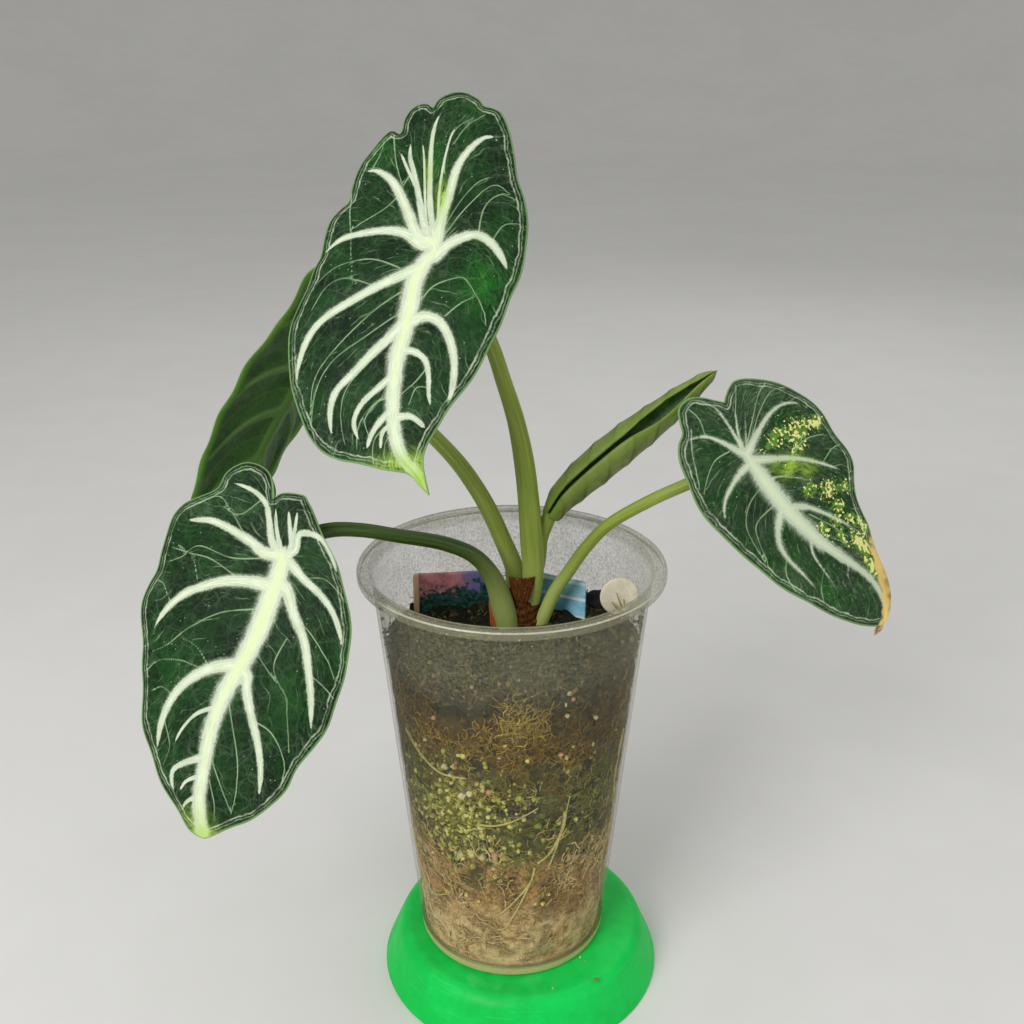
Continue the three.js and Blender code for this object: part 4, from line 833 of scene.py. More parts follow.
def half_blade(spine, margin, knots, starts, rows):
    """Points of one half from the spine to the margin. Between two veins a and b are the shares across and
    along them, and the point is the Coons patch: veins blended by a, plus spine and margin blended by b,
    less the corners blended by both. Gives the points, a for each row, the length along the margin, and the
    lanes: a count that rises by one for each fine vein between the main ones."""
    b = np.linspace(0, 1, rows + 1)
    points = np.zeros((len(starts), rows + 1, 2))
    across = np.zeros(len(starts))
    edge = np.zeros(len(starts))
    lanes = np.zeros(len(starts))
    passed = 0
    for low, high in zip(knots[:-1], knots[1:]):
        inside = (starts >= low[0] - 1e-9) & (starts <= high[0] + 1e-9)
        a = (starts[inside] - low[0]) / (high[0] - low[0])
        rim = low[1] + a * (high[1] - low[1])
        first, second = (
            line.at(b * line.length) if line else np.repeat(spine.at(start)[None], rows + 1, 0)
            for start, _, line in (low, high)
        )
        a3, b3 = a[:, None, None], b[None, :, None]
        veins = (1 - a3) * first + a3 * second
        ends = (1 - b3) * spine.at(starts[inside])[:, None] + b3 * margin.at(rim)[:, None]
        inner, outer = ((1 - a3) * first[k] + a3 * second[k] for k in (0, -1))
        corners = (1 - b3) * inner + b3 * outer
        points[inside] = veins + ends - corners
        across[inside], edge[inside] = a, rim
        count = max(2, round((high[1] - low[1]) / SHEET["lane"]))
        lanes[inside] = passed + a * count
        passed += count
    return points, across, edge, lanes


def blade_grid(blade, spacing):
    """The blade's flat grid: rows from the notch to the tip, columns from the left margin over the spine to
    the right one, with the pillow's height, the share from spine to margin, the length along the margin,
    the lanes of the fine veins, the millimetres between two lanes, and the distance out from the spine."""
    spine = Line(blade["spine"])
    margins = {side: Line(blade[side]) for side in ("left", "right")}
    knots = {side: vein_knots(blade, side, spine, margins[side]) for side in margins}
    marks = sorted({knot[0] for side in knots.values() for knot in side})
    starts = [0.0]
    for low, high in zip(marks[:-1], marks[1:]):
        spans = [
            np.ptp(np.interp([low, high], *([knot[k] for knot in side] for k in (0, 1))))
            for side in knots.values()
        ]
        steps = math.ceil(max(high - low, *spans) / spacing)
        starts.extend(np.linspace(low, high, steps + 1)[1:])
    starts = np.array(starts)
    halves = []
    for side, margin in margins.items():
        widest = np.abs(margin.points[:, 0] - spine.points[:, 0].mean()).max()
        rows = math.ceil(0.8 * widest / spacing)
        points, a, edge, lanes = half_blade(spine, margin, knots[side], starts, rows)
        b = np.broadcast_to(np.linspace(0, 1, rows + 1), points.shape[:2])
        pillow = np.sin(np.pi * a)[:, None] * np.sin(np.pi * b)
        gap = np.linalg.norm(np.gradient(points, axis=0), axis=2) / np.gradient(lanes)[:, None]
        out = np.pad(np.cumsum(np.linalg.norm(np.diff(points, axis=1), axis=2), 1), ((0, 0), (1, 0)))
        edge, lanes = (np.broadcast_to(row[:, None], b.shape) for row in (edge, lanes))
        halves.append([points, pillow, b, edge, lanes, gap, out])
    left, right = halves
    return [np.concatenate([l[:, ::-1], r[:, 1:]], 1) for l, r in zip(left, right)], spine, margins


def vein_fields(blade, flat, spine):
    """Distances in millimetres from flat points to what is drawn on the blade. rib is the distance to the
    nearest vein's edge and run the length along that vein, a vein widening where it leaves the spine;
    thread is the distance to the nearest hair-thin vein with its side as sign, and thread_far the same
    without sign."""
    stalk = spine.nearest((0, 0))
    inner = spine.marks > stalk - VEIN["behind"]
    spine_line = spine.points[inner]
    midrib = blade["midrib"]
    widths = np.interp(np.linspace(0, 1, len(spine_line)), np.linspace(0, 1, len(midrib)), midrib)
    veins = [(spine_line, widths, 0.0)]
    side_veins = [
        (w0, w1, points) for side in ("left", "right") for w0, w1, _, points in blade["veins_" + side]
    ]
    for first, last, points in side_veins + blade["streaks"]:
        root = spine.at(max(spine.nearest(points[0]), stalk - VEIN["behind"]))
        run_on, flare = VEIN["main" if first > VEIN["main_width"] else "lesser"]
        end = np.array(points[-1]) + run_on * unit(np.subtract(points[-1], points[-2]))
        line = smooth_line([root, *points, end], 8)
        share = np.linspace(0, 1, len(line))
        widths = (first + (last - first) * share) * (1 - 0.7 * ease(share, 0.7, 1))
        veins.append((line, widths, flare))
    rib = np.full(len(flat), np.inf)
    run, core, width = (np.zeros(len(flat)) for _ in range(3))
    for number, (line, widths, flare) in enumerate(veins):
        gap, along, _, share = distance_to(flat, line)
        here = VEIN["solid"] * np.interp(share, np.linspace(0, 1, len(widths)), widths)
        here += flare * np.exp(-along / VEIN["flare_reach"])
        away = gap - here / 2 + (VEIN["draw_back"] * ease(share, 0.8, 1) if number else 0)
        nearer = away < rib
        rib = np.where(nearer, away, rib)
        run = np.where(nearer, along + VEIN["apart"] * number, run)
        core, width = np.where(nearer, gap, core), np.where(nearer, here, width)
    thread = np.full(len(flat), np.inf)
    side = np.ones(len(flat))
    for points in blade["threads"]:
        gap, _, turn, share = distance_to(flat, smooth_line(points, 8))
        gap = gap + 0.15 * share
        side = np.where(gap < thread, turn, side)
        thread = np.minimum(thread, gap)
    return {"rib": rib, "run": run, "thread": thread * side, "thread_far": thread}, core, width


def patch_field(blade, kind, flat):
    """Strength of one kind of patch: the greatest, over its patches, of strength times a bell curve."""
    value = np.zeros(len(flat))
    for u, v, across, along, strength in blade["patches"].get(kind, []):
        bell = np.exp(-(((flat[:, 0] - u) / across) ** 2) - ((flat[:, 1] - v) / along) ** 2)
        value = np.maximum(value, strength * bell)
    return value


def blade_frame(blade):
    """The blade's axes (right, up away from the tip, out of the upper face) and its attachment."""
    up = -unit(blade["tip"])
    face = np.array(blade["face"], float)
    out = unit(face - (face @ up) * up)
    return np.stack([np.cross(up, out), up, out]), np.array(blade["attach"], float)


def blade_height(blade, u, v):
    """Height of the face over the blade's plane: minus arch times v squared and camber times u squared."""
    arch = np.where(v < 0, blade["arch"][0], blade["arch"][1])
    camber = np.where(u < 0, blade["camber"][0], blade["camber"][1])
    return -arch * v**2 - camber * u**2


def blade_shape(blade, settings, spacing):
    """Closed blade: pillows between sunken veins above, rounded ribs below, and a rounded margin between
    the two faces. Each row of the grid becomes a ring: upper face, right edge, lower face, left edge."""
    (flat, pillow, b, edge, lanes, gap, out), spine, margins = blade_grid(blade, spacing)
    rows, columns = flat.shape[:2]
    places = flat.reshape(-1, 2)
    fields, core, width = vein_fields(blade, places, spine)
    rim = np.minimum(*(distance_to(places, margin.points[::3])[0] for margin in margins.values()))
    fields.update(margin=rim, lane=lanes, lane_gap=gap, out=out, down=np.clip(width / 3.4, 0.12, 1.1))
    for kind in PATCH_KINDS:
        fields[kind] = patch_field(blade, kind, places)
    fade = ease(rim, 0, 2).reshape(rows, columns)
    wave = SHEET["wave"] * b**3 * np.sin(2 * np.pi * edge / SHEET["wave_length"])
    sunk = np.exp(-((np.maximum(fields["rib"], 0) / SHEET["groove_reach"]) ** 2)).reshape(rows, columns)
    fine = value_noise(np.c_[places, np.zeros(len(places))], SHEET["rough_cell"], 3).reshape(rows, columns)
    height = blade_height(blade, flat[..., 0], flat[..., 1]) + SHEET["pillow"] * pillow + wave
    height += (SHEET["rough"] * fine * (1 - sunk) - SHEET["groove"] * (1 - 0.7 * b) * sunk) * fade
    body = settings.thickness * (1 - 0.3 * b)
    ridge = (0.25 + 0.22 * width) * np.sqrt(np.clip(1 - (core / (0.45 * width + 0.25)) ** 2, 0, 1))
    under = height - body - ridge.reshape(rows, columns) * fade
    under[[0, -1]], height[[0, -1]] = (height - body)[[0, -1], :1], height[[0, -1], :1]
    rounding = 0.3 * settings.thickness

    def edge_ring(column, inner):
        """One point a row, half way between the faces and a little outside the margin."""
        away = unit(flat[:, column] - flat[:, inner]) * (np.ptp(flat, axis=1).max(1, keepdims=True) > 1e-6)
        middle = (height[:, column] + under[:, column]) / 2
        return np.c_[flat[:, column] + rounding * away, middle][:, None]

    upper, lower = np.dstack([flat, height]), np.dstack([flat, under])
    ring = np.concatenate([upper, edge_ring(-1, -2), lower[:, ::-1], edge_ring(0, 1)], 1)
    axes, attach = blade_frame(blade)
    points = ring.reshape(-1, 3) @ axes + attach

    def round_the_ring(values):
        """A field of the grid carried all round the rings."""
        values = values.reshape(rows, columns)
        return np.concatenate([values, values[:, -1:], values[:, ::-1], values[:, :1]], 1).ravel()

    around = ring.shape[1]
    below = np.zeros((rows, around), int)
    below[:, columns + 1 : 2 * columns + 1] = 1
    fields = {kind: round_the_ring(values) for kind, values in fields.items()}
    return points, grid_quads(rows, around, closed=True), fields, below.ravel()


# Node spelling


class Shader:
    """Short spelling for the nodes of one material or node group."""

    def __init__(self, tree, material=None):
        self.tree = tree
        self.material = material

    def plug(self, socket, value):
        """Links an output to a socket, or sets the socket's own value."""
        if isinstance(value, bpy.types.NodeSocket):
            self.tree.links.new(value, socket)
        elif socket.type == "RGBA" and len(value) == 3:
            socket.default_value = (*value, 1)
        else:
            socket.default_value = value

    def node(self, kind, inputs, out=0, **settings):
        """Adds a node, sets its settings, plugs its inputs by name or number, and gives one output or,
        where out is None, all of them."""
        node = self.tree.nodes.new("ShaderNode" + kind)
        for setting, value in settings.items():
            setattr(node, setting, value)
        for socket, value in inputs.items():
            self.plug(node.inputs[socket], value)
        return node.outputs if out is None else node.outputs[out]

    def math(self, operation, *values, clamp=False):
        """One operation on numbers."""
        return self.node("Math", dict(enumerate(values)), operation=operation, use_clamp=clamp)

    def times(self, first, second, **settings):
        """Product of two numbers."""
        return self.math("MULTIPLY", first, second, **settings)

    def fused(self, value, factor, more, **settings):
        """A number times a factor, plus more."""
        return self.math("MULTIPLY_ADD", value, factor, more, **settings)

    def greater(self, first, second):
        """The greater of two numbers."""
        return self.math("MAXIMUM", first, second)

    def away(self, value, centre):
        """How far a number lies from a centre."""
        return self.math("ABSOLUTE", self.math("SUBTRACT", value, centre))

    def ramp(self, value, low, high, start=0.0, end=1.0):
        """Smooth step from start at low to end at high."""
        inputs = {0: value, 1: low, 2: high, 3: start, 4: end}
        return self.node("MapRange", inputs, interpolation_type="SMOOTHSTEP")

    def mix(self, factor, first, second):
        """Two colours mixed by a factor."""
        return self.node("Mix", {0: factor, 6: first, 7: second}, out=2, data_type="RGBA")

    def place(self):
        """Object coordinates in millimetres."""
        here = self.node("TexCoord", {}, out="Object")
        return self.node("VectorMath", {0: here, 3: 1 / MM}, operation="SCALE")

    def parts(self, vector):
        """The three numbers of a vector."""
        return self.node("SeparateXYZ", {0: vector}, out=None)

    def scaled(self, vector, x, y, z):
        """A vector scaled by its own factor along each axis."""
        return self.node("VectorMath", {0: vector, 1: (x, y, z)}, operation="MULTIPLY")

    def vector(self, x, y, z=0.0):
        """A vector of three numbers."""
        return self.node("CombineXYZ", {0: x, 1: y, 2: z})

    def noise(self, vector, scale, detail=2.0, roughness=0.5, distortion=0.0):
        """Smooth noise about one half."""
        inputs = {"Vector": vector, "Scale": scale, "Detail": detail, "Roughness": roughness}
        return self.node("TexNoise", {**inputs, "Distortion": distortion})

    def cells(self, vector, scale, feature="F1", out=0):
        """Distances, chance colours or borders of scattered cells."""
        return self.node("TexVoronoi", {"Vector": vector, "Scale": scale}, out, feature=feature)

    def field(self, name):
        """A number that the mesh carries at each point."""
        return self.node("Attribute", {}, out="Fac", attribute_name=name)

    def group(self, tree, inputs, out=0):
        """A shared effect: one of its outputs or all of them."""
        return self.node("Group", inputs, out, node_tree=tree)

    def mottled(self, place, scale, first, second):
        """Two colours mixed by the mottle effect."""
        inputs = {"Place": place, "Scale": scale, "First": first, "Second": second}
        return self.group(mottle_effect(), inputs)

    def bump(self, height, distance, strength=1.0):
        """Bump of a height, with its distance in millimetres."""
        return self.node("Bump", {"Height": height, "Distance": distance * MM, "Strength": strength})

    def finish(self, colour, roughness, normal=None, **sockets):
        """Ends the material in a Principled surface and gives it. Extra sockets have _ for a space."""
        inputs = {"Base Color": colour, "Roughness": roughness}
        if normal is not None:
            inputs["Normal"] = normal
        inputs.update({name.replace("_", " "): value for name, value in sockets.items()})
        surface = self.node("BsdfPrincipled", inputs)
        self.plug(self.tree.nodes.new("ShaderNodeOutputMaterial").inputs["Surface"], surface)
        return self.material


def material(name):
    """Spelling for the nodes of a new empty material."""
    made = bpy.data.materials.new(name)
    made.use_nodes = True
    made.node_tree.nodes.clear()
    return Shader(made.node_tree, made)


def effect(name, inputs, outputs, build):
    """A node group, made once: inputs are names with defaults, outputs names with kinds, wired by build."""
    tree = bpy.data.node_groups.get(name)
    if tree:
        return tree
    tree = bpy.data.node_groups.new(name, "ShaderNodeTree")
    for socket, default in inputs.items():
        kind = {float: "NodeSocketFloat", tuple: "NodeSocketColor"}.get(type(default), "NodeSocketVector")
        made = tree.interface.new_socket(name=socket, in_out="INPUT", socket_type=kind)
        if default is not None:
            made.default_value = (*default, 1) if kind == "NodeSocketColor" else default
    for socket, kind in outputs.items():
        tree.interface.new_socket(name=socket, in_out="OUTPUT", socket_type="NodeSocket" + kind)
    shader = Shader(tree)
    given = tree.nodes.new("NodeGroupInput").outputs
    results = build(shader, {socket: given[socket] for socket in inputs})
    end = tree.nodes.new("NodeGroupOutput")
    for socket, value in results.items():
        shader.plug(end.inputs[socket], value)
    return tree


# Shared effects


def mottle_effect():
    """Mixes two colours by broad and fine noise of a place, for anything that grew or weathered."""

    def build(s, given):
        broad = s.noise(given["Place"], given["Scale"], 3.0, 0.6)
        fine = s.noise(given["Place"], s.times(given["Scale"], 6.3), 2.0, 0.6)
        both = s.fused(fine, 0.35, s.times(broad, 0.65))
        return {"Colour": s.mix(s.ramp(both, 0.38, 0.62), given["First"], given["Second"])}

    inputs = {"Place": None, "Scale": 0.1, "First": (0.1, 0.1, 0.1), "Second": (0.5, 0.5, 0.5)}
    return effect("Mottle", inputs, {"Colour": "Color"}, build)


def speck_effect():
    """Small round specks: cells whose middle is nearer than a size, where the cell's chance is high."""

    def build(s, given):
        near = s.cells(given["Place"], given["Scale"])
        chance = s.node("SeparateColor", {0: s.cells(given["Place"], given["Scale"], out=1)})
        kept = s.ramp(chance, *(s.math("SUBTRACT", level, given["Share"]) for level in (1.0, 1.02)))
        spot = s.ramp(near, s.times(given["Size"], 0.5), given["Size"], 1, 0)
        return {"Mask": s.times(spot, kept)}

    inputs = {"Place": None, "Scale": 0.5, "Size": 0.15, "Share": 0.3}
    return effect("Specks", inputs, {"Mask": "Float"}, build)


def grain_effect():
    """Lengthwise grain: noise stretched along a piece, read round it by the cosine and sine of its turn."""

    def build(s, given):
        along, turn, _ = s.parts(given["UV"])
        angle = s.times(turn, 2 * math.pi)
        x, y = (s.times(s.math(wave, angle), given["Round"]) for wave in ("COSINE", "SINE"))
        return {"Value": s.noise(s.vector(x, y, s.times(along, given["Along"])), 1.0, 4.0, 0.6)}

    inputs = {"UV": None, "Along": 0.05, "Round": 6.0}
    return effect("Grain", inputs, {"Value": "Float"}, build)


def feather_effect():
    """Vein with hairs: solid inside its edge, then fine hairs whose reach follows noise along the vein, so
    that they stand out to both sides like down and fade with distance, over a faint glow."""

    def build(s, given):
        slanted = s.fused(given["Rib"], -0.9, given["Run"])
        fine = s.noise(s.vector(slanted, s.times(given["Rib"], 0.4)), 3.8, 3.0, 0.65)
        broad = s.noise(s.vector(given["Run"], 3.1), 0.3, 3.0, 0.6)
        reach = s.times(s.ramp(fine, 0.34, 0.7, 0.15, 1.0), given["Length"])
        reach = s.times(reach, s.ramp(broad, 0.3, 0.7, 0.55, 1.35))
        hairs = s.ramp(given["Rib"], s.times(reach, 0.1), reach, 1, 0)
        faded = s.times(hairs, s.ramp(given["Rib"], 0.0, given["Length"], 0.85, 0.2))
        glow = s.ramp(given["Rib"], -0.3, s.times(given["Length"], 0.7), 0.36, 0)
        core = s.ramp(given["Rib"], -0.55, 0.1, 1, 0)
        return {"Mask": s.greater(core, s.greater(faded, glow)), "Core": core}

    inputs = {"Rib": 0.0, "Run": 0.0, "Length": 2.2}
    return effect("Feathered vein", inputs, {"Mask": "Float", "Core": "Float"}, build)


def margin_effect():
    """Stripes along a blade's margin: a lit edge, painted light where light shines through the margin, and
    two pale veins inside it that waver with noise.
    """

    def build(s, given):
        waver = s.noise(given["Place"], 0.2, 3.0, 0.6)
        inside = s.fused(waver, -2.2, s.math("ADD", given["Margin"], 1.1))
        loop = s.ramp(s.away(inside, 1.9), 0.05, 0.36, 0.8, 0)
        second = s.ramp(s.away(inside, 1.1), 0.04, 0.24, 0.45, 0)
        broken = s.ramp(s.noise(given["Place"], 0.34, 3.0, 0.6), 0.32, 0.62, 0.25, 1.0)
        # Painted light: the outer half millimetre of the margin, lit through from behind
        edge = s.ramp(given["Margin"], 0.05, 0.5, 1, 0)
        return {"Vein": s.times(s.greater(loop, second), broken), "Lit edge": edge}

    return effect("Margin stripes", {"Place": None, "Margin": 5.0}, {"Vein": "Float", "Lit edge": "Float"}, build)


def network_effect():
    """Fine net between veins: the edges of noise-bent cells in two sizes, shown where a noise is high."""

    def build(s, given):
        chance = s.node("TexNoise", {"Vector": given["Place"], "Scale": 0.35}, out="Color")
        inputs = {0: chance, 1: (2.4, 2.4, 2.4), 2: given["Place"]}
        bent = s.node("VectorMath", inputs, operation="MULTIPLY_ADD")
        wide = s.ramp(s.cells(bent, 0.2, "DISTANCE_TO_EDGE"), 0.01, 0.07, 1, 0)
        close = s.ramp(s.cells(bent, 0.55, "DISTANCE_TO_EDGE"), 0.02, 0.12, 0.5, 0)
        shown = s.ramp(s.noise(given["Place"], 0.12, 2.0), 0.35, 0.65, 0.25, 1.0)
        return {"Mask": s.times(s.greater(wide, close), shown)}

    return effect("Fine net", {"Place": None}, {"Mask": "Float"}, build)


def scuff_effect():
    """Scratches and haze on plastic: hair lines from noise stretched two ways, and clouds of noise."""

    def build(s, given):
        place = given["Place"]
        level = s.noise(s.scaled(place, 0.05, 0.05, 1.7), 1.0, 3.0, 0.7)
        upright = s.noise(s.scaled(place, 0.9, 0.9, 0.06), 1.0, 2.0, 0.6)
        lines = s.greater(s.ramp(level, 0.6, 0.72), s.ramp(upright, 0.66, 0.78, 0, 0.6))
        grit = s.noise(place, 1.3, 5.0, 0.8)
        clouds = s.fused(grit, 0.55, s.times(s.noise(place, 0.1, 6.0, 0.75), 0.6))
        clouds = s.ramp(clouds, 0.44, 0.74)
        return {"Lines": lines, "Clouds": clouds}

    return effect("Scuffs", {"Place": None}, {"Lines": "Float", "Clouds": "Float"}, build)


# Leaf finishes


def fine_vein_effect():
    """Fine veins along the lanes between the main ones, broken by noise, and streaks beside them."""

    def build(s, given):
        bent = s.fused(s.noise(given["Place"], 0.12, 2.0, 0.5), 1.3, given["Lane"])
        apart = s.away(s.math("FRACT", bent), 0.5)
        line = s.ramp(s.times(apart, given["Gap"]), 0.02, 0.32, 1, 0)
        shown = s.ramp(s.noise(given["Place"], 0.15, 3.0, 0.6), 0.45, 0.7, 0.0, 0.5)
        sideways = s.vector(s.times(bent, 6.0), s.times(given["Out"], 0.3))
        return {"Line": s.times(line, shown), "Streaks": s.noise(sideways, 1.0, 4.0, 0.65)}

    inputs = {"Place": None, "Lane": 0.0, "Gap": 4.0, "Out": 0.0}
    return effect("Fine veins", inputs, {"Line": "Float", "Streaks": "Float"}, build)


def leaf_paint(name, look, vein, ground, hair, slim=0.0, cream=False):
    """Upper face: velvety ground mottled by noise and tinted by the patches, whose dark kind is painted shade
    in the hollows, streaks and fine veins along the lanes, hair-thin drawn veins, the vein that runs round
    the margin, the feathered main veins on top, and painted light along the margin's rim."""
    s = material(name)
    place = s.place()
    fields = {kind: s.field(kind) for kind in PATCH_KINDS if cream or kind not in ("cream", "burn")}
    rib = s.math("ADD", s.field("rib"), slim)
    lanes = {"Place": place, "Lane": s.field("lane"), "Gap": s.field("lane_gap"), "Out": s.field("out")}
    fine = s.group(fine_vein_effect(), lanes, out=None)
    streaks = fine["Streaks"]
    base = s.mottled(place, 0.09, ground, look.ground_light)
    uneven = s.fused(streaks, 0.5, s.times(s.noise(place, 0.4, 4.0, 0.65), 0.5))
    broken = s.ramp(uneven, 0.36, 0.6, 0.3, 1.25)
    # The dark patches paint shade into the hollows; the other kinds are the blade's own colour
    for kind, paint, strength in PATCH_TONES:
        shown = s.times(s.times(fields[kind], broken), strength, clamp=True)
        base = s.mix(shown, base, getattr(look, paint))
    close, apart = (0.5, 0.16) if cream else (0.34, 0.06)
    downy = s.times(s.ramp(streaks, 0.5, 0.78), s.ramp(rib, 0.0, 4.5, close, apart))
    base = s.mix(downy, base, look.thread)
    base = s.mix(s.ramp(streaks, 0.28, 0.5, 0.6, 0), base, look.ground_dark_and_shade)
    net = s.group(network_effect(), {"Place": place})
    base = s.mix(s.times(net, 0.1), base, look.thread)
    if cream:
        green = s.fused(fields["cream"], 0.4, s.noise(place, 0.6, 3.0, 0.6))
        base = s.mix(s.ramp(green, 0.66, 0.8, 0, 0.8), base, look.fresh)
        chance = s.fused(fields["cream"], 0.3, s.noise(place, 0.95, 2.0, 0.5))
        base = s.mix(s.ramp(chance, 0.74, 0.78, 0, 0.95), base, look.cream)
    flecks = s.group(speck_effect(), {"Place": place, "Scale": 0.8, "Size": 0.17, "Share": 0.14})
    base = s.mix(s.times(flecks, 0.55), base, look.vein_shade)
    far = s.math("SUBTRACT", s.field("thread_far"), 0.35)
    gap = s.greater(s.math("ABSOLUTE", s.field("thread")), far)
    shown = s.ramp(s.noise(place, 0.16, 2.0), 0.3, 0.62, 0.45, 1.0)
    thread = s.greater(fine["Line"], s.times(s.ramp(gap, 0.05, 0.34, 1, 0), shown))
    base = s.mix(thread, base, look.thread)
    stripes = s.group(margin_effect(), {"Place": place, "Margin": s.field("margin")}, out=None)
    base = s.mix(s.times(stripes["Vein"], 0.8), base, look.vein_shade)
    length = s.times(s.field("down"), hair)
    feather = s.group(feather_effect(), {"Rib": rib, "Run": s.field("run"), "Length": length}, out=None)
    strands = s.vector(s.times(rib, 2.6), s.times(s.field("run"), 0.22))
    pale_vein = s.mix(s.ramp(s.noise(strands, 1.0, 4.0, 0.6), 0.36, 0.68), vein, look.vein_shade)
    pale_vein = s.mix(s.ramp(rib, -1.9, -0.7, 0.3 if cream else 0.75, 0.0), pale_vein, look.midrib)
    pale_vein = s.mix(s.times(fields["lime"], 0.8, clamp=True), pale_vein, look.lime)
    base = s.mix(feather["Mask"], base, pale_vein)
    # Painted light: the margin's rim lightened to a lit green
    base = s.mix(s.times(stripes["Lit edge"], 0.75), base, look.edge)
    if cream:
        edges = s.fused(s.noise(place, 0.4, 3.0), 0.4, fields["burn"])
        dry = s.mix(s.ramp(edges, 1.15, 1.7), look.tan, look.burn)
        base = s.mix(s.ramp(edges, 0.55, 0.8), base, dry)
    down = s.noise(place, 3.2, 3.0, 0.7)
    relief = s.fused(thread, 0.35, s.fused(down, 0.35, s.times(streaks, 0.4)))
    relief = s.fused(feather["Mask"], 0.5, relief)
    roughness = s.ramp(feather["Core"], 0, 1, 0.55, 0.7)
    return s.finish(base, roughness, s.bump(relief, 0.16, 0.8), Specular_IOR_Level=0.12)


def curl_shape():
    """Dried curl at the right blade's tip: a strip that leaves the margin and rolls, its width shrinking to
    its end. It is worked out in the blade's own axes, a sine below the blade's plane."""
    along, across = np.meshgrid(np.linspace(0, 1, 24), np.linspace(-0.5, 0.5, 8), indexing="ij")
    width = CURL["width"] * (1 - 0.5 * along)
    u = CURL["start"][0] - CURL["length"] * along + 0.35 * across * width
    v = CURL["start"][1] - np.sin(2.6 * along) + across * width
    lift = 0.5 * np.cos(6 * along + 3 * across) - 1.1 - np.sin(np.pi * along)
    axes, attach = blade_frame(RIGHT_BLADE)
    middle = np.stack([u, v, blade_height(RIGHT_BLADE, u, v) + lift], -1) @ axes + attach
    points, quads, _ = sheet(middle, CURL["thickness"])
    return points, quads, np.tile(np.stack([4 * across, along], -1).reshape(-1, 2), (2, 1))


def leaf_back(name, settings, ground, rib_colour):
    """Underside: mottled green that pales towards ribs and margin, with raised paler ribs."""
    s = material(name)
    place = s.place()
    rib, margin = s.field("rib"), s.field("margin")
    base = s.mottled(place, 0.07, ground, settings.under_light)
    net = s.group(network_effect(), {"Place": place})
    base = s.mix(s.times(net, 0.3), base, rib_colour)
    base = s.mix(s.ramp(rib, -0.2, 0.7, 0.9, 0), base, rib_colour)
    thread = s.ramp(s.field("thread_far"), 0.2, 0.7, 0.4, 0)
    base = s.mix(thread, base, rib_colour)
    base = s.mix(s.ramp(margin, 0.4, 3.4, 0.85, 0), base, settings.under_edge)
    relief = s.fused(net, 0.5, s.times(s.noise(place, 2.4, 3.0), 0.4))
    roughness = s.ramp(s.noise(place, 0.2), 0.3, 0.7, 0.38, 0.5)
    return s.finish(base, roughness, s.bump(relief, 0.12), Specular_IOR_Level=0.45)


class LeafSettings(bpy.types.PropertyGroup):
    """Sizes and colours of the blades."""

    spacing: measure("Mesh spacing", "Grid spacing of the blades in millimetres", 0.78, min=0.5)
    thickness: measure("Thickness", "Blade thickness in millimetres", 0.6, min=0.3)
    hair_length: measure("Hair length", "Reach of a vein's pale hairs in millimetres", 2.5)
    vein: colour("Vein", "Pale main veins", 216, 224, 200)
    vein_shade: colour("Vein shade", "Strands in a vein", 190, 206, 172)
    midrib: colour("Midrib", "Middle of the widest veins", 214, 230, 172)
    thread: colour("Thread", "Hair-thin veins", 140, 168, 126)
    # Painted shade: the colour of the dark patches in the hollows, and of the dark between the streaks
    ground_dark_and_shade: colour("Hollow", "Darkest hollows", 2, 12, 3)
    ground: colour("Ground", "Velvety dark green", 6, 30, 9)
    ground_light: colour("Ground light", "Lighter green", 17, 58, 17)
    emerald: colour("Emerald", "Bright green patches", 20, 98, 18)
    grey: colour("Grey green", "Silvery patches", 78, 106, 72)
    lime: colour("Lime", "Yellow-green tips and patches", 160, 196, 60)
    fresh: colour("Fresh green", "Light green round the cream", 92, 136, 46)
    cream: colour("Cream", "Variegation", 222, 218, 140)
    tan: colour("Tan", "Drying margin", 210, 182, 108)
    burn: colour("Brown", "Dry margin", 112, 76, 30)
    silver: colour("Silver vein", "Veins of the variegated blade", 196, 206, 182)
    silver_ground: colour("Silver ground", "Ground of the variegated blade", 38, 54, 36)
    # Painted light: the lit green of the margin's rim
    edge: colour("Lit edge", "Pale edge of a blade", 128, 166, 104)
    under: colour("Underside", "Underside green", 26, 62, 14)
    under_light: colour("Underside light", "Paler underside", 46, 88, 24)
    under_rib: colour("Underside rib", "Ribs below", 76, 114, 42)
    under_edge: colour("Underside edge", "Margin below", 92, 146, 40)


class ALOCASIA_OT_blades(bpy.types.Operator):
    """Make the four open blades, with their veins as fields on the mesh"""

    bl_idname = "alocasia.blades"
    bl_label = "Blades"

    def execute(self, context):
        look = context.scene.alocasia_leaves
        below = leaf_back("leaf_underside", look, look.under, look.under_rib)
        green = leaf_paint("leaf_velvet", look, look.vein, look.ground, look.hair_length)
        longer = 1.35 * look.hair_length
        flecked = leaf_paint("leaf_variegated", look, look.silver, look.silver_ground, longer, 0.5, True)
        for name, blade in BLADES.items():
            spacing = look.spacing * (1.5 if name == "back" else 1)
            points, quads, fields, second = blade_shape(blade, look, spacing)
            upper = flecked if name == "right" else green
            paints, nodes = [upper, below], ["leaf_" + name]
            add_piece("blade_" + name, points * KEPT_IN, quads, paints, nodes, fields, second=second)
        points, quads, uv = curl_shape()
        straw = scale_paint("curl_straw", tone(216, 186, 142), tone(150, 112, 74))
        add_piece("dry_curl", points * KEPT_IN, quads, [straw], uv=uv)
        return {"FINISHED"}


# Rolled leaf, stalks and crown


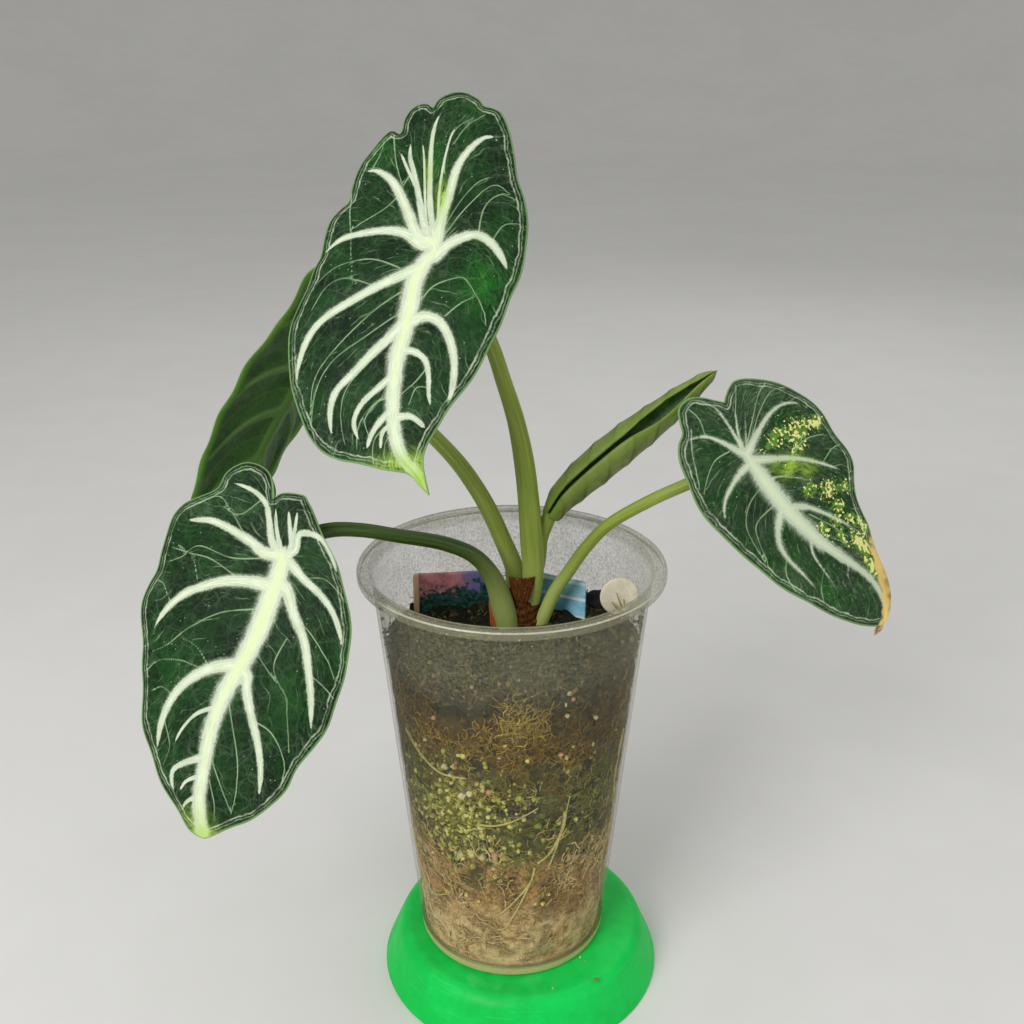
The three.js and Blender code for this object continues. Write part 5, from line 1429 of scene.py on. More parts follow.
def rolled_shape(along=150, around=96):
    """Rolled sheet: at each step of the axis an arc about it from one side of the slot to the other, its
    radius drawn in near one side so that this side tucks under the other; the sheet thins to rounded
    edges."""
    axis = smooth_line(ROLLED["axis"], 40)
    radii = smooth_line([(r, 0) for r in ROLLED["radii"]], 40)[:, 0]
    share = np.linspace(0, 1, len(axis))
    steps = np.linspace(0, 1, along)
    centre = read_at(steps, share, axis)
    radius = np.interp(steps, share, radii) * (1 - 0.75 * ease(steps, 0.93, 1))
    ahead = unit(np.gradient(centre, axis=0))
    slot = np.array(ROLLED["slot"], float)
    slot = unit(slot - (ahead @ slot)[:, None] * ahead)
    side = np.cross(slot, ahead)
    gape = ROLLED["gape"] * np.sin(np.pi * np.clip((steps - 0.45) / 0.52, 0, 1)) ** 2
    turn = np.linspace(ROLLED["from"] + gape, ROLLED["to"] - gape, around, axis=1)
    tucked = 1 - ROLLED["tuck"] * np.clip(1 - (turn - ROLLED["from"]) / 110, 0, 1) ** 2
    lip = 1 + 0.1 * ease(turn, 300, 338)
    length = lengths_along(centre)
    lane = length[:, None] - 0.075 * (turn - 180)
    ridge = np.abs((lane / 9.5) % 1 - 0.5) * 9.5
    swell = 0.22 * np.exp(-((ridge / 0.8) ** 2)) - 0.12 * np.exp(-(((4.75 - ridge) / 2.4) ** 2))
    wobble = 0.12 * np.sin(length / 4.1)[:, None] * ease(np.abs(turn - 180), 110, 158)
    reach = radius[:, None] * tucked * lip + (swell + wobble) * np.minimum(1, radius / 3)[:, None] - 0.3
    angle = np.radians(turn)[..., None]
    spoke = slot[:, None] * np.cos(angle) + side[:, None] * np.sin(angle)
    middle = centre[:, None] + reach[..., None] * spoke
    points, quads, inner = sheet(middle, np.minimum(ROLLED["thickness"], 0.5 * radius)[:, None])
    fields = {"lane": ridge, "turn": turn, "run": np.broadcast_to(length[:, None], lane.shape)}
    return points, quads, {key: np.tile(value.ravel(), 2) for key, value in fields.items()}, inner


def rolled_paint(look):
    """Outside of the roll: pale panels between darker slanting veins, yellower along its free edge."""
    s = material("new_leaf_outside")
    place = s.place()
    base = s.mottled(place, 0.16, look.new, look.new_light)
    base = s.mix(s.ramp(s.field("lane"), 0.15, 1.1, 0.75, 0), base, look.new_vein)
    turn = s.field("turn")
    flap = s.ramp(s.away(turn, 181.0), 112.0, 150.0)
    base = s.mix(s.times(flap, 0.75), base, look.flap)
    lines = s.noise(s.vector(s.times(s.field("run"), 0.06), s.times(turn, 0.35)), 1.0, 2.0)
    base = s.mix(s.ramp(lines, 0.45, 0.75, 0, 0.3), base, look.new_light)
    relief = s.fused(lines, 0.5, s.times(s.noise(place, 1.6, 3.0), 0.5))
    return s.finish(base, 0.45, s.bump(relief, 0.12), Specular_IOR_Level=0.35)


def rolled_inside_paint(look):
    """Inside of the roll: the dark upper face, mottled, a little paler at the slot."""
    s = material("new_leaf_inside")
    place = s.place()
    dark = s.mottled(place, 0.2, tone(54, 98, 32), tone(92, 138, 56))
    flap = s.ramp(s.away(s.field("turn"), 181.0), 136.0, 160.0)
    base = s.mix(s.times(flap, 0.9), dark, look.flap)
    return s.finish(base, 0.5, s.bump(s.noise(place, 2.0, 3.0), 0.1))


def against_blade(points, blade, drop):
    """Points above a plane that lies drop under the blade's attachment are moved down onto it."""
    axes, attach = blade_frame(blade)
    height = (points - attach) @ axes[2]
    return points - np.outer(np.maximum(height + drop, 0), axes[2])


def stalk_shape(name, sides=28, step=1.3):
    """Tube along the stalk's line, thicker just under the blade, with shallow lengthwise ribs."""
    knots = smooth_line(STALKS[name], 24)
    marks = lengths_along(knots[:, :3])
    places = np.linspace(0, marks[-1], math.ceil(marks[-1] / step))
    path = read_at(places, marks, knots)
    middle = path[len(path) // 2, :3]
    up = np.cross(path[-1, :3] - path[0, :3], middle - path[0, :3])
    bumps = 1 + 0.012 * value_noise(np.c_[places, np.zeros((len(places), 2))], 9.0, len(name))
    points, quads, uv = tubes(path[None, :, :3], (path[:, 3] * bumps)[None], sides, unit(up) + 1e-3)
    if name in BLADES:
        points = against_blade(points, BLADES[name], 0.9)
    return points, quads, uv


def stalk_paint(name, look, pale, dark):
    """Stalk: lengthwise grain between two greens, paler and yellower low down, with fine darker dashes."""
    s = material(name)
    place = s.place()
    uv = s.node("UVMap", {})
    grain = s.group(grain_effect(), {"UV": uv, "Along": 0.05, "Round": 3.0})
    base = s.mix(s.ramp(grain, 0.28, 0.72), dark, pale)
    dashes = s.group(grain_effect(), {"UV": uv, "Along": 0.35, "Round": 9.0})
    base = s.mix(s.ramp(dashes, 0.58, 0.72, 0, 0.2), base, look.dash)
    height = s.parts(place)[2]
    base = s.mix(s.ramp(height, *STALK_BASE, 0.75, 0.0), base, look.low)
    relief = s.fused(grain, 0.7, s.times(s.noise(place, 2.2, 3.0), 0.3))
    return s.finish(base, s.ramp(dashes, 0.3, 0.7, 0.38, 0.5), s.bump(relief, 0.14), Specular_IOR_Level=0.3)


def scale_shape(scale, across=44, down=40):
    """Dry scale: an arc of a cone's wall about the crown that narrows downwards, with a ragged lower edge,
    lengthwise ribs and a curl that all fade in from its top."""
    fall, share = np.meshgrid(np.linspace(0, 1, down), np.linspace(-0.5, 0.5, across), indexing="ij")
    ragged = 1 - 0.12 * (1 + np.sin(19 * share) * np.cos(7 * share + 1)) * fall
    sunk = fall * ragged
    narrowed = 1 - 0.8 * sunk**2
    turn = np.radians((scale["from"] + scale["to"]) / 2 + share * (scale["to"] - scale["from"]) * narrowed)
    ribs = 0.07 * np.sin(40 * share) + 0.15 * np.sin(3 + 6 * fall) * share
    reach = scale["radius"] + 0.4 + scale["flare"] * (1 - sunk) ** 2 + ribs
    x, y = scale["centre"][0] + reach * np.cos(turn), scale["centre"][1] + reach * np.sin(turn)
    middle = np.stack([x, y, scale["top"] - scale["depth"] * sunk], -1)
    points, quads, _ = sheet(middle, 0.4)
    uv = np.tile(np.stack([share * 12, fall], -1).reshape(-1, 2), (2, 1))
    return points, quads, uv


def scale_paint(name, pale, dark):
    """Papery scale: fibres that run down it, from rust to dark brown, with pale flecks."""
    s = material(name)
    place = s.place()
    fibre = s.noise(s.scaled(s.node("UVMap", {}), 1.6, 3.0, 1.0), 1.0, 4.0, 0.65)
    base = s.mix(s.ramp(fibre, 0.35, 0.68), dark, pale)
    flecks = s.group(speck_effect(), {"Place": place, "Scale": 0.9, "Size": 0.25, "Share": 0.2})
    base = s.mix(s.times(flecks, 0.4), base, tone(208, 160, 104))
    return s.finish(base, 0.72, s.bump(fibre, 0.3), Specular_IOR_Level=0.15)


def crown_shape():
    """The short stem: a profile turned about its axis, its radius varied by old leaf scars and by noise."""
    height = np.linspace(0, 1, 90)
    knots = [(0, 0), (0.55, 0.02), (0.9, 0.22), (1, 0.5), (0.97, 0.74), (0.78, 0.9), (0.4, 0.98), (0, 1)]
    radius = np.interp(height, [k[1] for k in knots], [k[0] for k in knots])
    radius[[0, -1]] = 0
    length = CROWN["top"] - CROWN["bottom"]
    profile = np.c_[radius * CROWN["radius"], CROWN["bottom"] + height * length]
    points, quads, uv = turned(profile, 96, (CROWN["x"], CROWN["y"]))
    away = points[:, :2] - [CROWN["x"], CROWN["y"]]
    rings = 0.025 * np.sin(points[:, 2] * 2.4 + 2 * np.sin(3 * np.arctan2(away[:, 1], away[:, 0])))
    rough = 0.05 * value_noise(points, 1.3, 5) - 0.03
    points[:, :2] += away * (rings + rough)[:, None]
    return points, quads, np.c_[uv[:, 1], uv[:, 0]]


class GrowthSettings(bpy.types.PropertyGroup):
    """Colours of the stalks, the rolled leaf and the crown."""

    pale: colour("Stalk", "Olive green of the stalks", 140, 156, 62)
    dark: colour("Stalk shade", "Darker lines of the stalks", 112, 132, 44)
    low: colour("Stalk base", "Stalks near the soil", 168, 180, 104)
    dash: colour("Dashes", "Fine dashes on the stalks", 92, 110, 34)
    # Painted shade: the left stalk gets darker copies of the stalk greens, for the shade it stands in
    shaded: colour("Left stalk", "The darker left stalk", 62, 88, 22)
    shaded_dark: colour("Left shade", "Its darker lines", 30, 52, 10)
    new: colour("New leaf", "Panels of the rolled leaf", 88, 108, 42)
    new_light: colour("New leaf light", "Paler panels", 124, 140, 74)
    new_vein: colour("New veins", "Veins of the rolled leaf", 52, 74, 20)
    flap: colour("Flap", "Free edges of the roll", 114, 136, 48)
    rust: colour("Rust", "Dry scales", 108, 62, 12)
    bark: colour("Bark", "Crown and dark fibres", 44, 22, 6)


class ALOCASIA_OT_stalks(bpy.types.Operator):
    """Make the leaf stalks"""

    bl_idname = "alocasia.stalks"
    bl_label = "Stalks"

    def execute(self, context):
        look = context.scene.alocasia_growth
        olive = stalk_paint("stalk_olive", look, look.pale, look.dark)
        # The left stalk's darker copy of the stalk paint is painted shade
        shaded = stalk_paint("stalk_shaded", look, look.shaded, look.shaded_dark)
        for name in STALKS:
            points, quads, uv = stalk_shape(name)
            paint = shaded if name == "left" else olive
            add_piece("petiole_" + name, points, quads, [paint], ["stalk_" + name], uv=uv)
        return {"FINISHED"}


class ALOCASIA_OT_new_leaf(bpy.types.Operator):
    """Make the rolled new leaf"""

    bl_idname = "alocasia.new_leaf"
    bl_label = "Rolled leaf"

    def execute(self, context):
        look = context.scene.alocasia_growth
        points, quads, fields, inner = rolled_shape()
        paints = [rolled_paint(look), rolled_inside_paint(look)]
        add_piece("new_leaf", points, quads, paints, ["leaf_rolled"], fields, second=inner)
        return {"FINISHED"}


class ALOCASIA_OT_crown(bpy.types.Operator):
    """Make the crown and its dry scales"""

    bl_idname = "alocasia.crown"
    bl_label = "Crown and scales"

    def execute(self, context):
        look = context.scene.alocasia_growth
        bark = scale_paint("crown_bark", look.rust, look.bark)
        points, quads, uv = crown_shape()
        add_piece("crown_stem", points, quads, [bark], ["crown"], uv=uv * [0.4, 24])
        rust = scale_paint("scale_rust", look.rust, look.bark)
        amber = scale_paint("scale_amber", tone(196, 116, 58), tone(120, 60, 26))
        for name, scale, paint in (("front", FRONT_SCALE, rust), ("low", LOW_SCALE, amber)):
            points, quads, uv = scale_shape(scale)
            add_piece("sheath_" + name, points, quads, [paint], ["scale_" + name], uv=uv)
        return {"FINISHED"}


# Saucer and cup


def rounded(profile, radius, steps=4):
    """Profile with each inner corner replaced by a quadratic curve from radius before to radius after."""
    profile = np.array(profile, float)
    made = [profile[:1]]
    for before, corner, after in zip(profile[:-2], profile[1:-1], profile[2:]):
        arms = (before - corner, after - corner)
        arms = [min(radius, 0.45 * np.linalg.norm(arm)) * unit(arm) for arm in arms]
        t = np.linspace(0, 1, steps + 1)[:, None]
        made.append((1 - t) ** 2 * (corner + arms[0]) + 2 * t * (1 - t) * corner + t**2 * (corner + arms[1]))
    return np.concatenate([*made, profile[-1:]])


def filled(profile, longest):
    """Profile with long straight stretches cut into steps no longer than given."""
    made = [profile[:1]]
    for start, end in zip(profile[:-1], profile[1:]):
        steps = max(1, math.ceil(np.linalg.norm(end - start) / longest))
        made.append(start + (end - start) * np.linspace(0, 1, steps + 1)[1:, None])
    return np.concatenate(made)


def wall_radius(z):
    """Outside radius of the cup's wall at a height."""
    return CUP["foot"] + CUP["taper"] * (z - CUP["base"])


def saucer_profile():
    """Half section of the upturned saucer: disc, rounded shoulder, flared skirt and the hollow below."""
    high, foot, top, shoulder, wall = (SAUCER[k] for k in ("height", "foot", "top", "shoulder", "wall"))
    drop = 0.8 * shoulder
    outside = [(0, high), (top - shoulder, high), (top, high - drop), (foot, 0.0), (foot - wall, 0.0)]
    inside = [(top - wall, high - wall - drop), (top - wall - shoulder, high - wall), (0, high - wall)]
    return filled(rounded(outside + inside, 1.5, 6), 3.0)


def cup_profile():
    """Half section of the cup: foot ring, thin wall, and a flange with a short lip turned down."""
    base, high = CUP["base"], CUP["base"] + CUP["height"]
    foot, flange, wall, neck = CUP["foot"], CUP["flange"], CUP["wall"], high - CUP["drop"]
    section = [
        (0, base + 2.2), (foot - 4.2, base + 2.2), (foot - 3.2, base), (foot - 0.6, base),
        (foot + 0.1, base + 0.8),
        (wall_radius(neck), neck), (wall_radius(neck) + 0.5, high - 1.2), (flange - 1, high - 1.2),
        (flange - 1, neck), (flange, neck), (flange, high - 0.7), (flange - 0.7, high),
        (wall_radius(high) + 0.6, high), (wall_radius(neck) - wall, neck - 0.6),
        (wall_radius(base + 3.2) - wall, base + CUP["floor"]), (0, base + CUP["floor"]),
    ]
    return filled(rounded(section, 0.5, 4), 2.5)


def saucer_paint(look):
    """Satin green plastic: fine moulded grain, faint scuffs, dust that settles on faces that look up."""
    s = material("saucer_green")
    place = s.place()
    base = s.mottled(place, 0.03, look.saucer, look.saucer_light)
    scuffs = s.group(scuff_effect(), {"Place": place}, out=None)
    base = s.mix(s.times(scuffs["Lines"], 0.08), base, tone(160, 240, 180))
    height = s.parts(place)[2]
    upper = s.ramp(height, SAUCER["height"] - 1.0, SAUCER["height"] - 0.2)
    dust = s.times(s.times(scuffs["Clouds"], upper), 0.09)
    base = s.mix(dust, base, tone(130, 170, 90))
    grain = s.noise(place, 3.0, 2.0, 0.6)
    roughness = s.fused(scuffs["Clouds"], 0.14, 0.4)
    return s.finish(base, roughness, s.bump(grain, 0.05, 0.6), Specular_IOR_Level=0.2)


def cup_paint(look):
    """Clear plastic hazed by lime and scuffs: alpha from haze, scuff lines, splash rings and the lip, and
    more of it where the wall is seen edge on. The lip and the rim's rounded top also carry a painted
    highlight: more alpha there, and the rim's top in the pale plastic colour."""
    s = material("cup_clear")
    place = s.place()
    height = s.parts(place)[2]
    scuffs = s.group(scuff_effect(), {"Place": place}, out=None)
    drops = s.group(speck_effect(), {"Place": place, "Scale": 0.55, "Size": 0.24, "Share": 0.12})
    headspace = s.ramp(height, *HEADSPACE)
    lip = s.ramp(height, *LIP)
    foot = s.ramp(height, CUP["base"] + 2.6, CUP["base"] + 5.0, 1, 0)
    dots = s.ramp(s.noise(place, 1.1, 4.0, 0.75), 0.45, 0.62, 0.0, 0.24)
    # Painted highlight: a bright line along the rim's rounded top
    shoulder = s.away(height, CUP["base"] + CUP["height"] - 0.55)
    edges = s.ramp(shoulder, 0.1, 0.35, 0.4, 0.0)
    haze = s.times(scuffs["Clouds"], s.fused(headspace, 0.08, 0.05))
    haze = s.fused(headspace, dots, haze)
    haze = s.math("ADD", s.math("ADD", haze, edges), s.times(scuffs["Lines"], 0.1))
    haze = s.math("ADD", haze, s.times(drops, 0.16))
    haze = s.fused(lip, 0.16, s.fused(foot, 0.6, s.math("ADD", haze, 0.05)))
    edge_on = s.node("LayerWeight", {"Blend": 0.35}, out="Facing")
    alpha = s.fused(s.math("POWER", edge_on, 3.0), 0.35, haze, clamp=True)
    # Pale scuffs and splash rings, and the painted highlight on the rim's top
    scuffs_and_rim_highlight = s.greater(s.greater(drops, scuffs["Lines"]), s.times(edges, 2.0))
    tint = s.mix(foot, s.mix(scuffs_and_rim_highlight, look.haze, look.plastic), look.ring)
    bumps = s.fused(drops, 0.6, s.times(scuffs["Lines"], 0.5))
    roughness = s.fused(scuffs["Clouds"], 0.25, 0.2)
    return s.finish(tint, roughness, s.bump(bumps, 0.08), Alpha=alpha, IOR=1.49)


class PotSettings(bpy.types.PropertyGroup):
    """Sizes and colours of the cup, the saucer and the labels."""

    segments: amount("Segments", "Steps round the cup and the saucer", 192, min=48)
    saucer: colour("Saucer", "Green plastic", 0, 186, 70)
    saucer_light: colour("Saucer light", "Lighter plastic", 0, 204, 82)
    plastic: colour("Cup", "Scuffs on clear plastic", 208, 206, 190)
    haze: colour("Haze", "Haze on the cup", 140, 138, 108)
    ring: colour("Foot ring", "The cup's pale foot", 206, 196, 138)


class ALOCASIA_OT_saucer(bpy.types.Operator):
    """Make the upturned green saucer"""

    bl_idname = "alocasia.saucer"
    bl_label = "Saucer"

    def execute(self, context):
        look = context.scene.alocasia_pot
        points, quads, _ = turned(saucer_profile(), look.segments, (SAUCER["centre"], 0))
        add_piece("saucer_plate", points, quads, [saucer_paint(look)], ["saucer"], sharp=50)
        return {"FINISHED"}


class ALOCASIA_OT_cup(bpy.types.Operator):
    """Make the clear cup"""

    bl_idname = "alocasia.cup"
    bl_label = "Cup"

    def execute(self, context):
        look = context.scene.alocasia_pot
        points, quads, _ = turned(cup_profile(), look.segments)
        add_piece("cup_clear", points, quads, [cup_paint(look)], ["cup"], sharp=50)
        return {"FINISHED"}


# Filling


def on_wall(turn, z, inset):
    """Points behind the cup's wall: an angle in radians, a height and a distance in from the inner face."""
    radius = wall_radius(np.asarray(z)) - CUP["wall"] - inset
    return np.stack([radius * np.cos(turn), radius * np.sin(turn), z], -1)


def soil_top(x, y):
    """Height of the soil: its level and two long waves."""
    return SOIL_LEVEL + np.sin(0.19 * x + 1.1) * np.cos(0.23 * y - 0.4) + 0.5 * np.sin(0.71 * x - 0.52 * y)


def soil_shape(around=270, up=180, inward=50):
    """Filling: rings up the cup's inner wall, then rings inwards over the top to its middle. The side is
    pushed in by layers of noise, so that hollows show behind the plastic, and the top is lifted and sunk by
    noise."""
    turn = np.linspace(0, 2 * np.pi, around + 1)[None]
    floor = CUP["base"] + CUP["floor"] + 0.3
    z = np.linspace(floor, SOIL_LEVEL - 1.5, up)[:, None] + 0 * turn
    side = on_wall(turn + 0 * z, z, 0.35)
    flat = side.reshape(-1, 3)
    noise = sum(share * np.abs(value_noise(flat, cell, seed)) for share, cell, seed in HOLLOWS)
    depth = (noise * ease(z.ravel(), floor, floor + 1)).reshape(z.shape)
    side = on_wall(turn + 0 * z, z, 0.35 + depth)
    share = np.linspace(1, 0, inward + 1)[:, None] + 0 * turn
    reach = (wall_radius(SOIL_LEVEL - 1.5) - CUP["wall"] - 0.35 - depth[-1]) * share
    x, y = reach * np.cos(turn), reach * np.sin(turn)
    top = np.stack([x, y, soil_top(x, y)], -1)
    level = top.reshape(-1, 3) * [1, 1, 0]
    lumps = sum(size * value_noise(level, cell, seed) for size, cell, seed in LUMPS)
    top[..., 2] += lumps.reshape(x.shape) * ease(1 - share, 0, 0.06) - 1.2 * (1 - ease(1 - share, 0, 0.08))
    top[-1] = top[-1, 0]
    base = np.stack([0 * turn, 0 * turn, floor + 0 * turn], -1)
    rings = np.concatenate([base, side, top])
    rings[:, -1] = rings[:, 0]
    hollow = np.concatenate([np.zeros((1, around + 1)), depth, np.zeros(x.shape)])
    return rings.reshape(-1, 3), grid_quads(*rings.shape[:2]), {"hollow": hollow.ravel()}


def strand_paths(rng, count, low, high, steps, length, about=(0, 2 * np.pi)):
    """Moss strands pressed against the wall, in clumps: of twice as many chance starts, the half where a
    noise is highest. Each takes even steps in a direction that turns a little each step, at a chance small
    depth behind the plastic. Gives the paths and a clump's own value for each."""
    turn = rng.uniform(*about, 2 * count)
    start = np.stack([turn, rng.triangular(low, (low + high) / 2, high, 2 * count)], -1)
    crowd = value_noise(on_wall(*start.T, 0), 6.0, int(low)) + rng.normal(0, 0.25, 2 * count)
    start = start[np.argsort(-crowd)[:count]]
    heading = rng.uniform(0, 2 * np.pi, (count, 1)) + np.cumsum(rng.normal(0, 0.6, (count, steps)), 1)
    step = rng.uniform(0.6, 1.4, (count, 1)) * length / steps
    radius = wall_radius(start[:, 1:]) - CUP["wall"]
    turn = start[:, :1] + np.cumsum(step * np.cos(heading), 1) / radius
    z = np.clip(start[:, 1:] + np.cumsum(step * np.sin(heading), 1), CUP["base"] + 4.2, SOIL_LEVEL + 1)
    inset = 0.3 + rng.uniform(0.05, 0.75, (count, 1)) + 0.25 * np.sin(np.linspace(0, 3, steps))[None]
    return on_wall(turn, z, inset), value_noise(on_wall(*start.T, 0), 9.0, int(high))


def moss_bundle(rng, count, low, high, length, thick, steps=5, **spread):
    """Many tapered strands as one set of tubes, with a value for each that its clump and chance share, kept
    for the colours."""
    paths, clump = strand_paths(rng, count, low, high, steps, length, **spread)
    taper = np.sin(np.linspace(0.35, np.pi - 0.1, steps))[None]
    radii = thick * rng.uniform(0.6, 1.5, (count, 1)) * (0.45 + 0.55 * taper)
    points, quads, _ = tubes(paths, radii, 3)
    value = np.clip(0.5 + 0.4 * clump + rng.normal(0, 0.2, count), 0, 1)
    return points, quads, np.repeat(value, (steps + 2) * 3)


def joined(*bundles):
    """Several sets of points, squares and values as one, with the squares' numbers moved on."""
    shift = np.cumsum([0] + [len(points) for points, _, _ in bundles[:-1]])
    points, quads, values = zip(*bundles)
    quads = [corners + start for corners, start in zip(quads, shift)]
    return tuple(np.concatenate(parts) for parts in (points, quads, values))


def grains(rng, centres, sizes, rings=5, around=7, dent=0.8):
    """Rough pebbles: a small ball of rings about each centre, squashed by chance along each axis and dented
    by noise of the given cell."""
    polar, turn = np.linspace(0, np.pi, rings)[:, None], np.linspace(0, 2 * np.pi, around, endpoint=False)
    sides = [np.sin(polar) * np.cos(turn), np.sin(polar) * np.sin(turn), np.cos(polar)]
    ball = np.stack(np.broadcast_arrays(*sides), -1)
    ball[[0, -1]] = ball[[0, -1], :1]
    shape = rng.uniform(0.7, 1.25, (len(centres), 1, 1, 3))
    flat = (ball[None] * shape * np.asarray(sizes)[:, None, None, None]).reshape(-1, 3)
    where = np.repeat(np.asarray(centres), rings * around, 0)
    flat = flat * (1 + 0.3 * value_noise(flat + where, dent, 4))[:, None] + where
    flat = flat.reshape(len(centres), rings, around, 3)
    flat[:, [0, -1]] = flat[:, [0, -1], :1]
    quads = repeated(grid_quads(rings, around, closed=True), len(centres), rings * around)
    return flat.reshape(-1, 3), quads, np.repeat(rng.uniform(0, 1, len(centres)), rings * around)


def add_fill(name, bundle, paint):
    """One piece of the filling from its points, squares and the value that its colours follow."""
    points, quads, age = bundle
    add_piece(name, points, quads, [paint], fields={"age": age})


def sprig_shape():
    """Sprig of moss: tapered tubes from its foot to its tips, each bowed forwards by a half sine."""
    foot, tips = np.array(SPRIG["foot"]), np.array(SPRIG["foot"]) + np.array(SPRIG["tips"])
    t = np.linspace(0, 1, 9)[None, :, None]
    paths = foot + (tips[:, None] - foot) * t + np.array([0, -0.8, 0]) * np.sin(np.pi * t)
    radii = np.repeat(SPRIG["radius"] * (1 - 0.7 * t[..., 0]), len(tips), 0)
    points, quads, _ = tubes(paths, radii, 6)
    return points, quads, np.full(len(points), 0.45)


def soil_paint(look):
    """Filling: colours by height, from near black under the top through ochre and green to tan at the foot,
    broken by chance blotches, with painted shade in chance spots between the moss and in the hollows where
    the surface is pushed in, less of it low down."""
    s = material("soil_moss")
    place = s.place()
    height = s.parts(place)[2]
    waver = s.fused(s.math("SUBTRACT", s.noise(place, 0.06, 3.0, 0.6), 0.5), 34.0, height)
    base = look.foot
    for (low, high), paint in zip(BANDS, (look.tan, look.green, look.ochre, look.peat)):
        base = s.mix(s.ramp(waver, low, high), base, paint)
    blotch = s.noise(place, 0.3, 4.0, 0.65)
    base = s.mix(s.ramp(blotch, 0.52, 0.7, 0, 0.6), base, look.fibre)
    fine = s.noise(place, 1.1, 3.0, 0.7)
    # Painted shade between the moss and in the hollows, weaker low in the cup
    hollow_shade = s.ramp(height, 26.0, 72.0, 0.45, 1.0)
    base = s.mix(s.times(s.ramp(fine, 0.34, 0.52, 0.85, 0.0), hollow_shade), base, look.gap)
    base = s.mix(s.times(s.ramp(s.field("hollow"), 0.7, 1.7, 0.0, 0.9), hollow_shade), base, look.gap)
    return s.finish(base, 0.88, s.bump(s.math("ADD", fine, blotch), 0.5), Specular_IOR_Level=0.25)


def strand_paint(name, *tones):
    """Moss and fibre: three colours by the strand's own chance value, mottled finely."""
    s = material(name)
    first, second, third = (tone(*rgb) for rgb in tones)
    age = s.field("age")
    base = s.mix(s.ramp(age, 0.2, 0.5), first, second)
    base = s.mix(s.ramp(age, 0.62, 0.9), base, third)
    shade = s.noise(s.place(), 0.8, 3.0, 0.6)
    base = s.mix(s.ramp(shade, 0.3, 0.6, 0.38, 0), base, tone(40, 32, 12))
    return s.finish(base, 0.75, s.bump(shade, 0.15), Specular_IOR_Level=0.3)


class FillSettings(bpy.types.PropertyGroup):
    """Counts and colours of the moss, grit and roots in the cup."""

    strands: amount("Strands", "Moss strands against the wall", 10000, min=10)
    crumbs: amount("Crumbs", "Dark crumbs on the wall above the filling", 280, min=1)
    grit: amount("Grit", "Pale grains against the wall", 700, min=10)
    seed: amount("Seed", "Seed of the chance draws", 11)
    foot: colour("Foot", "Filling at the foot", 212, 186, 130)
    tan: colour("Tan", "Dry moss low in the cup", 178, 138, 78)
    green: colour("Green", "Green moss half way up", 80, 84, 24)
    ochre: colour("Ochre", "Ochre moss higher up", 84, 60, 16)
    peat: colour("Peat", "Dark filling at the top", 24, 24, 12)
    fibre: colour("Fibre", "Light blotches", 150, 118, 60)
    # Painted shade in the hollows between the moss
    gap: colour("Hollow", "Hollows between the moss", 14, 11, 4)


class ALOCASIA_OT_filling(bpy.types.Operator):
    """Make the filling's own surface"""

    bl_idname = "alocasia.filling"
    bl_label = "Filling"

    def execute(self, context):
        look = context.scene.alocasia_fill
        points, quads, fields = soil_shape()
        add_piece("soil_fill", points, quads, [soil_paint(look)], ["soil"], fields)
        return {"FINISHED"}


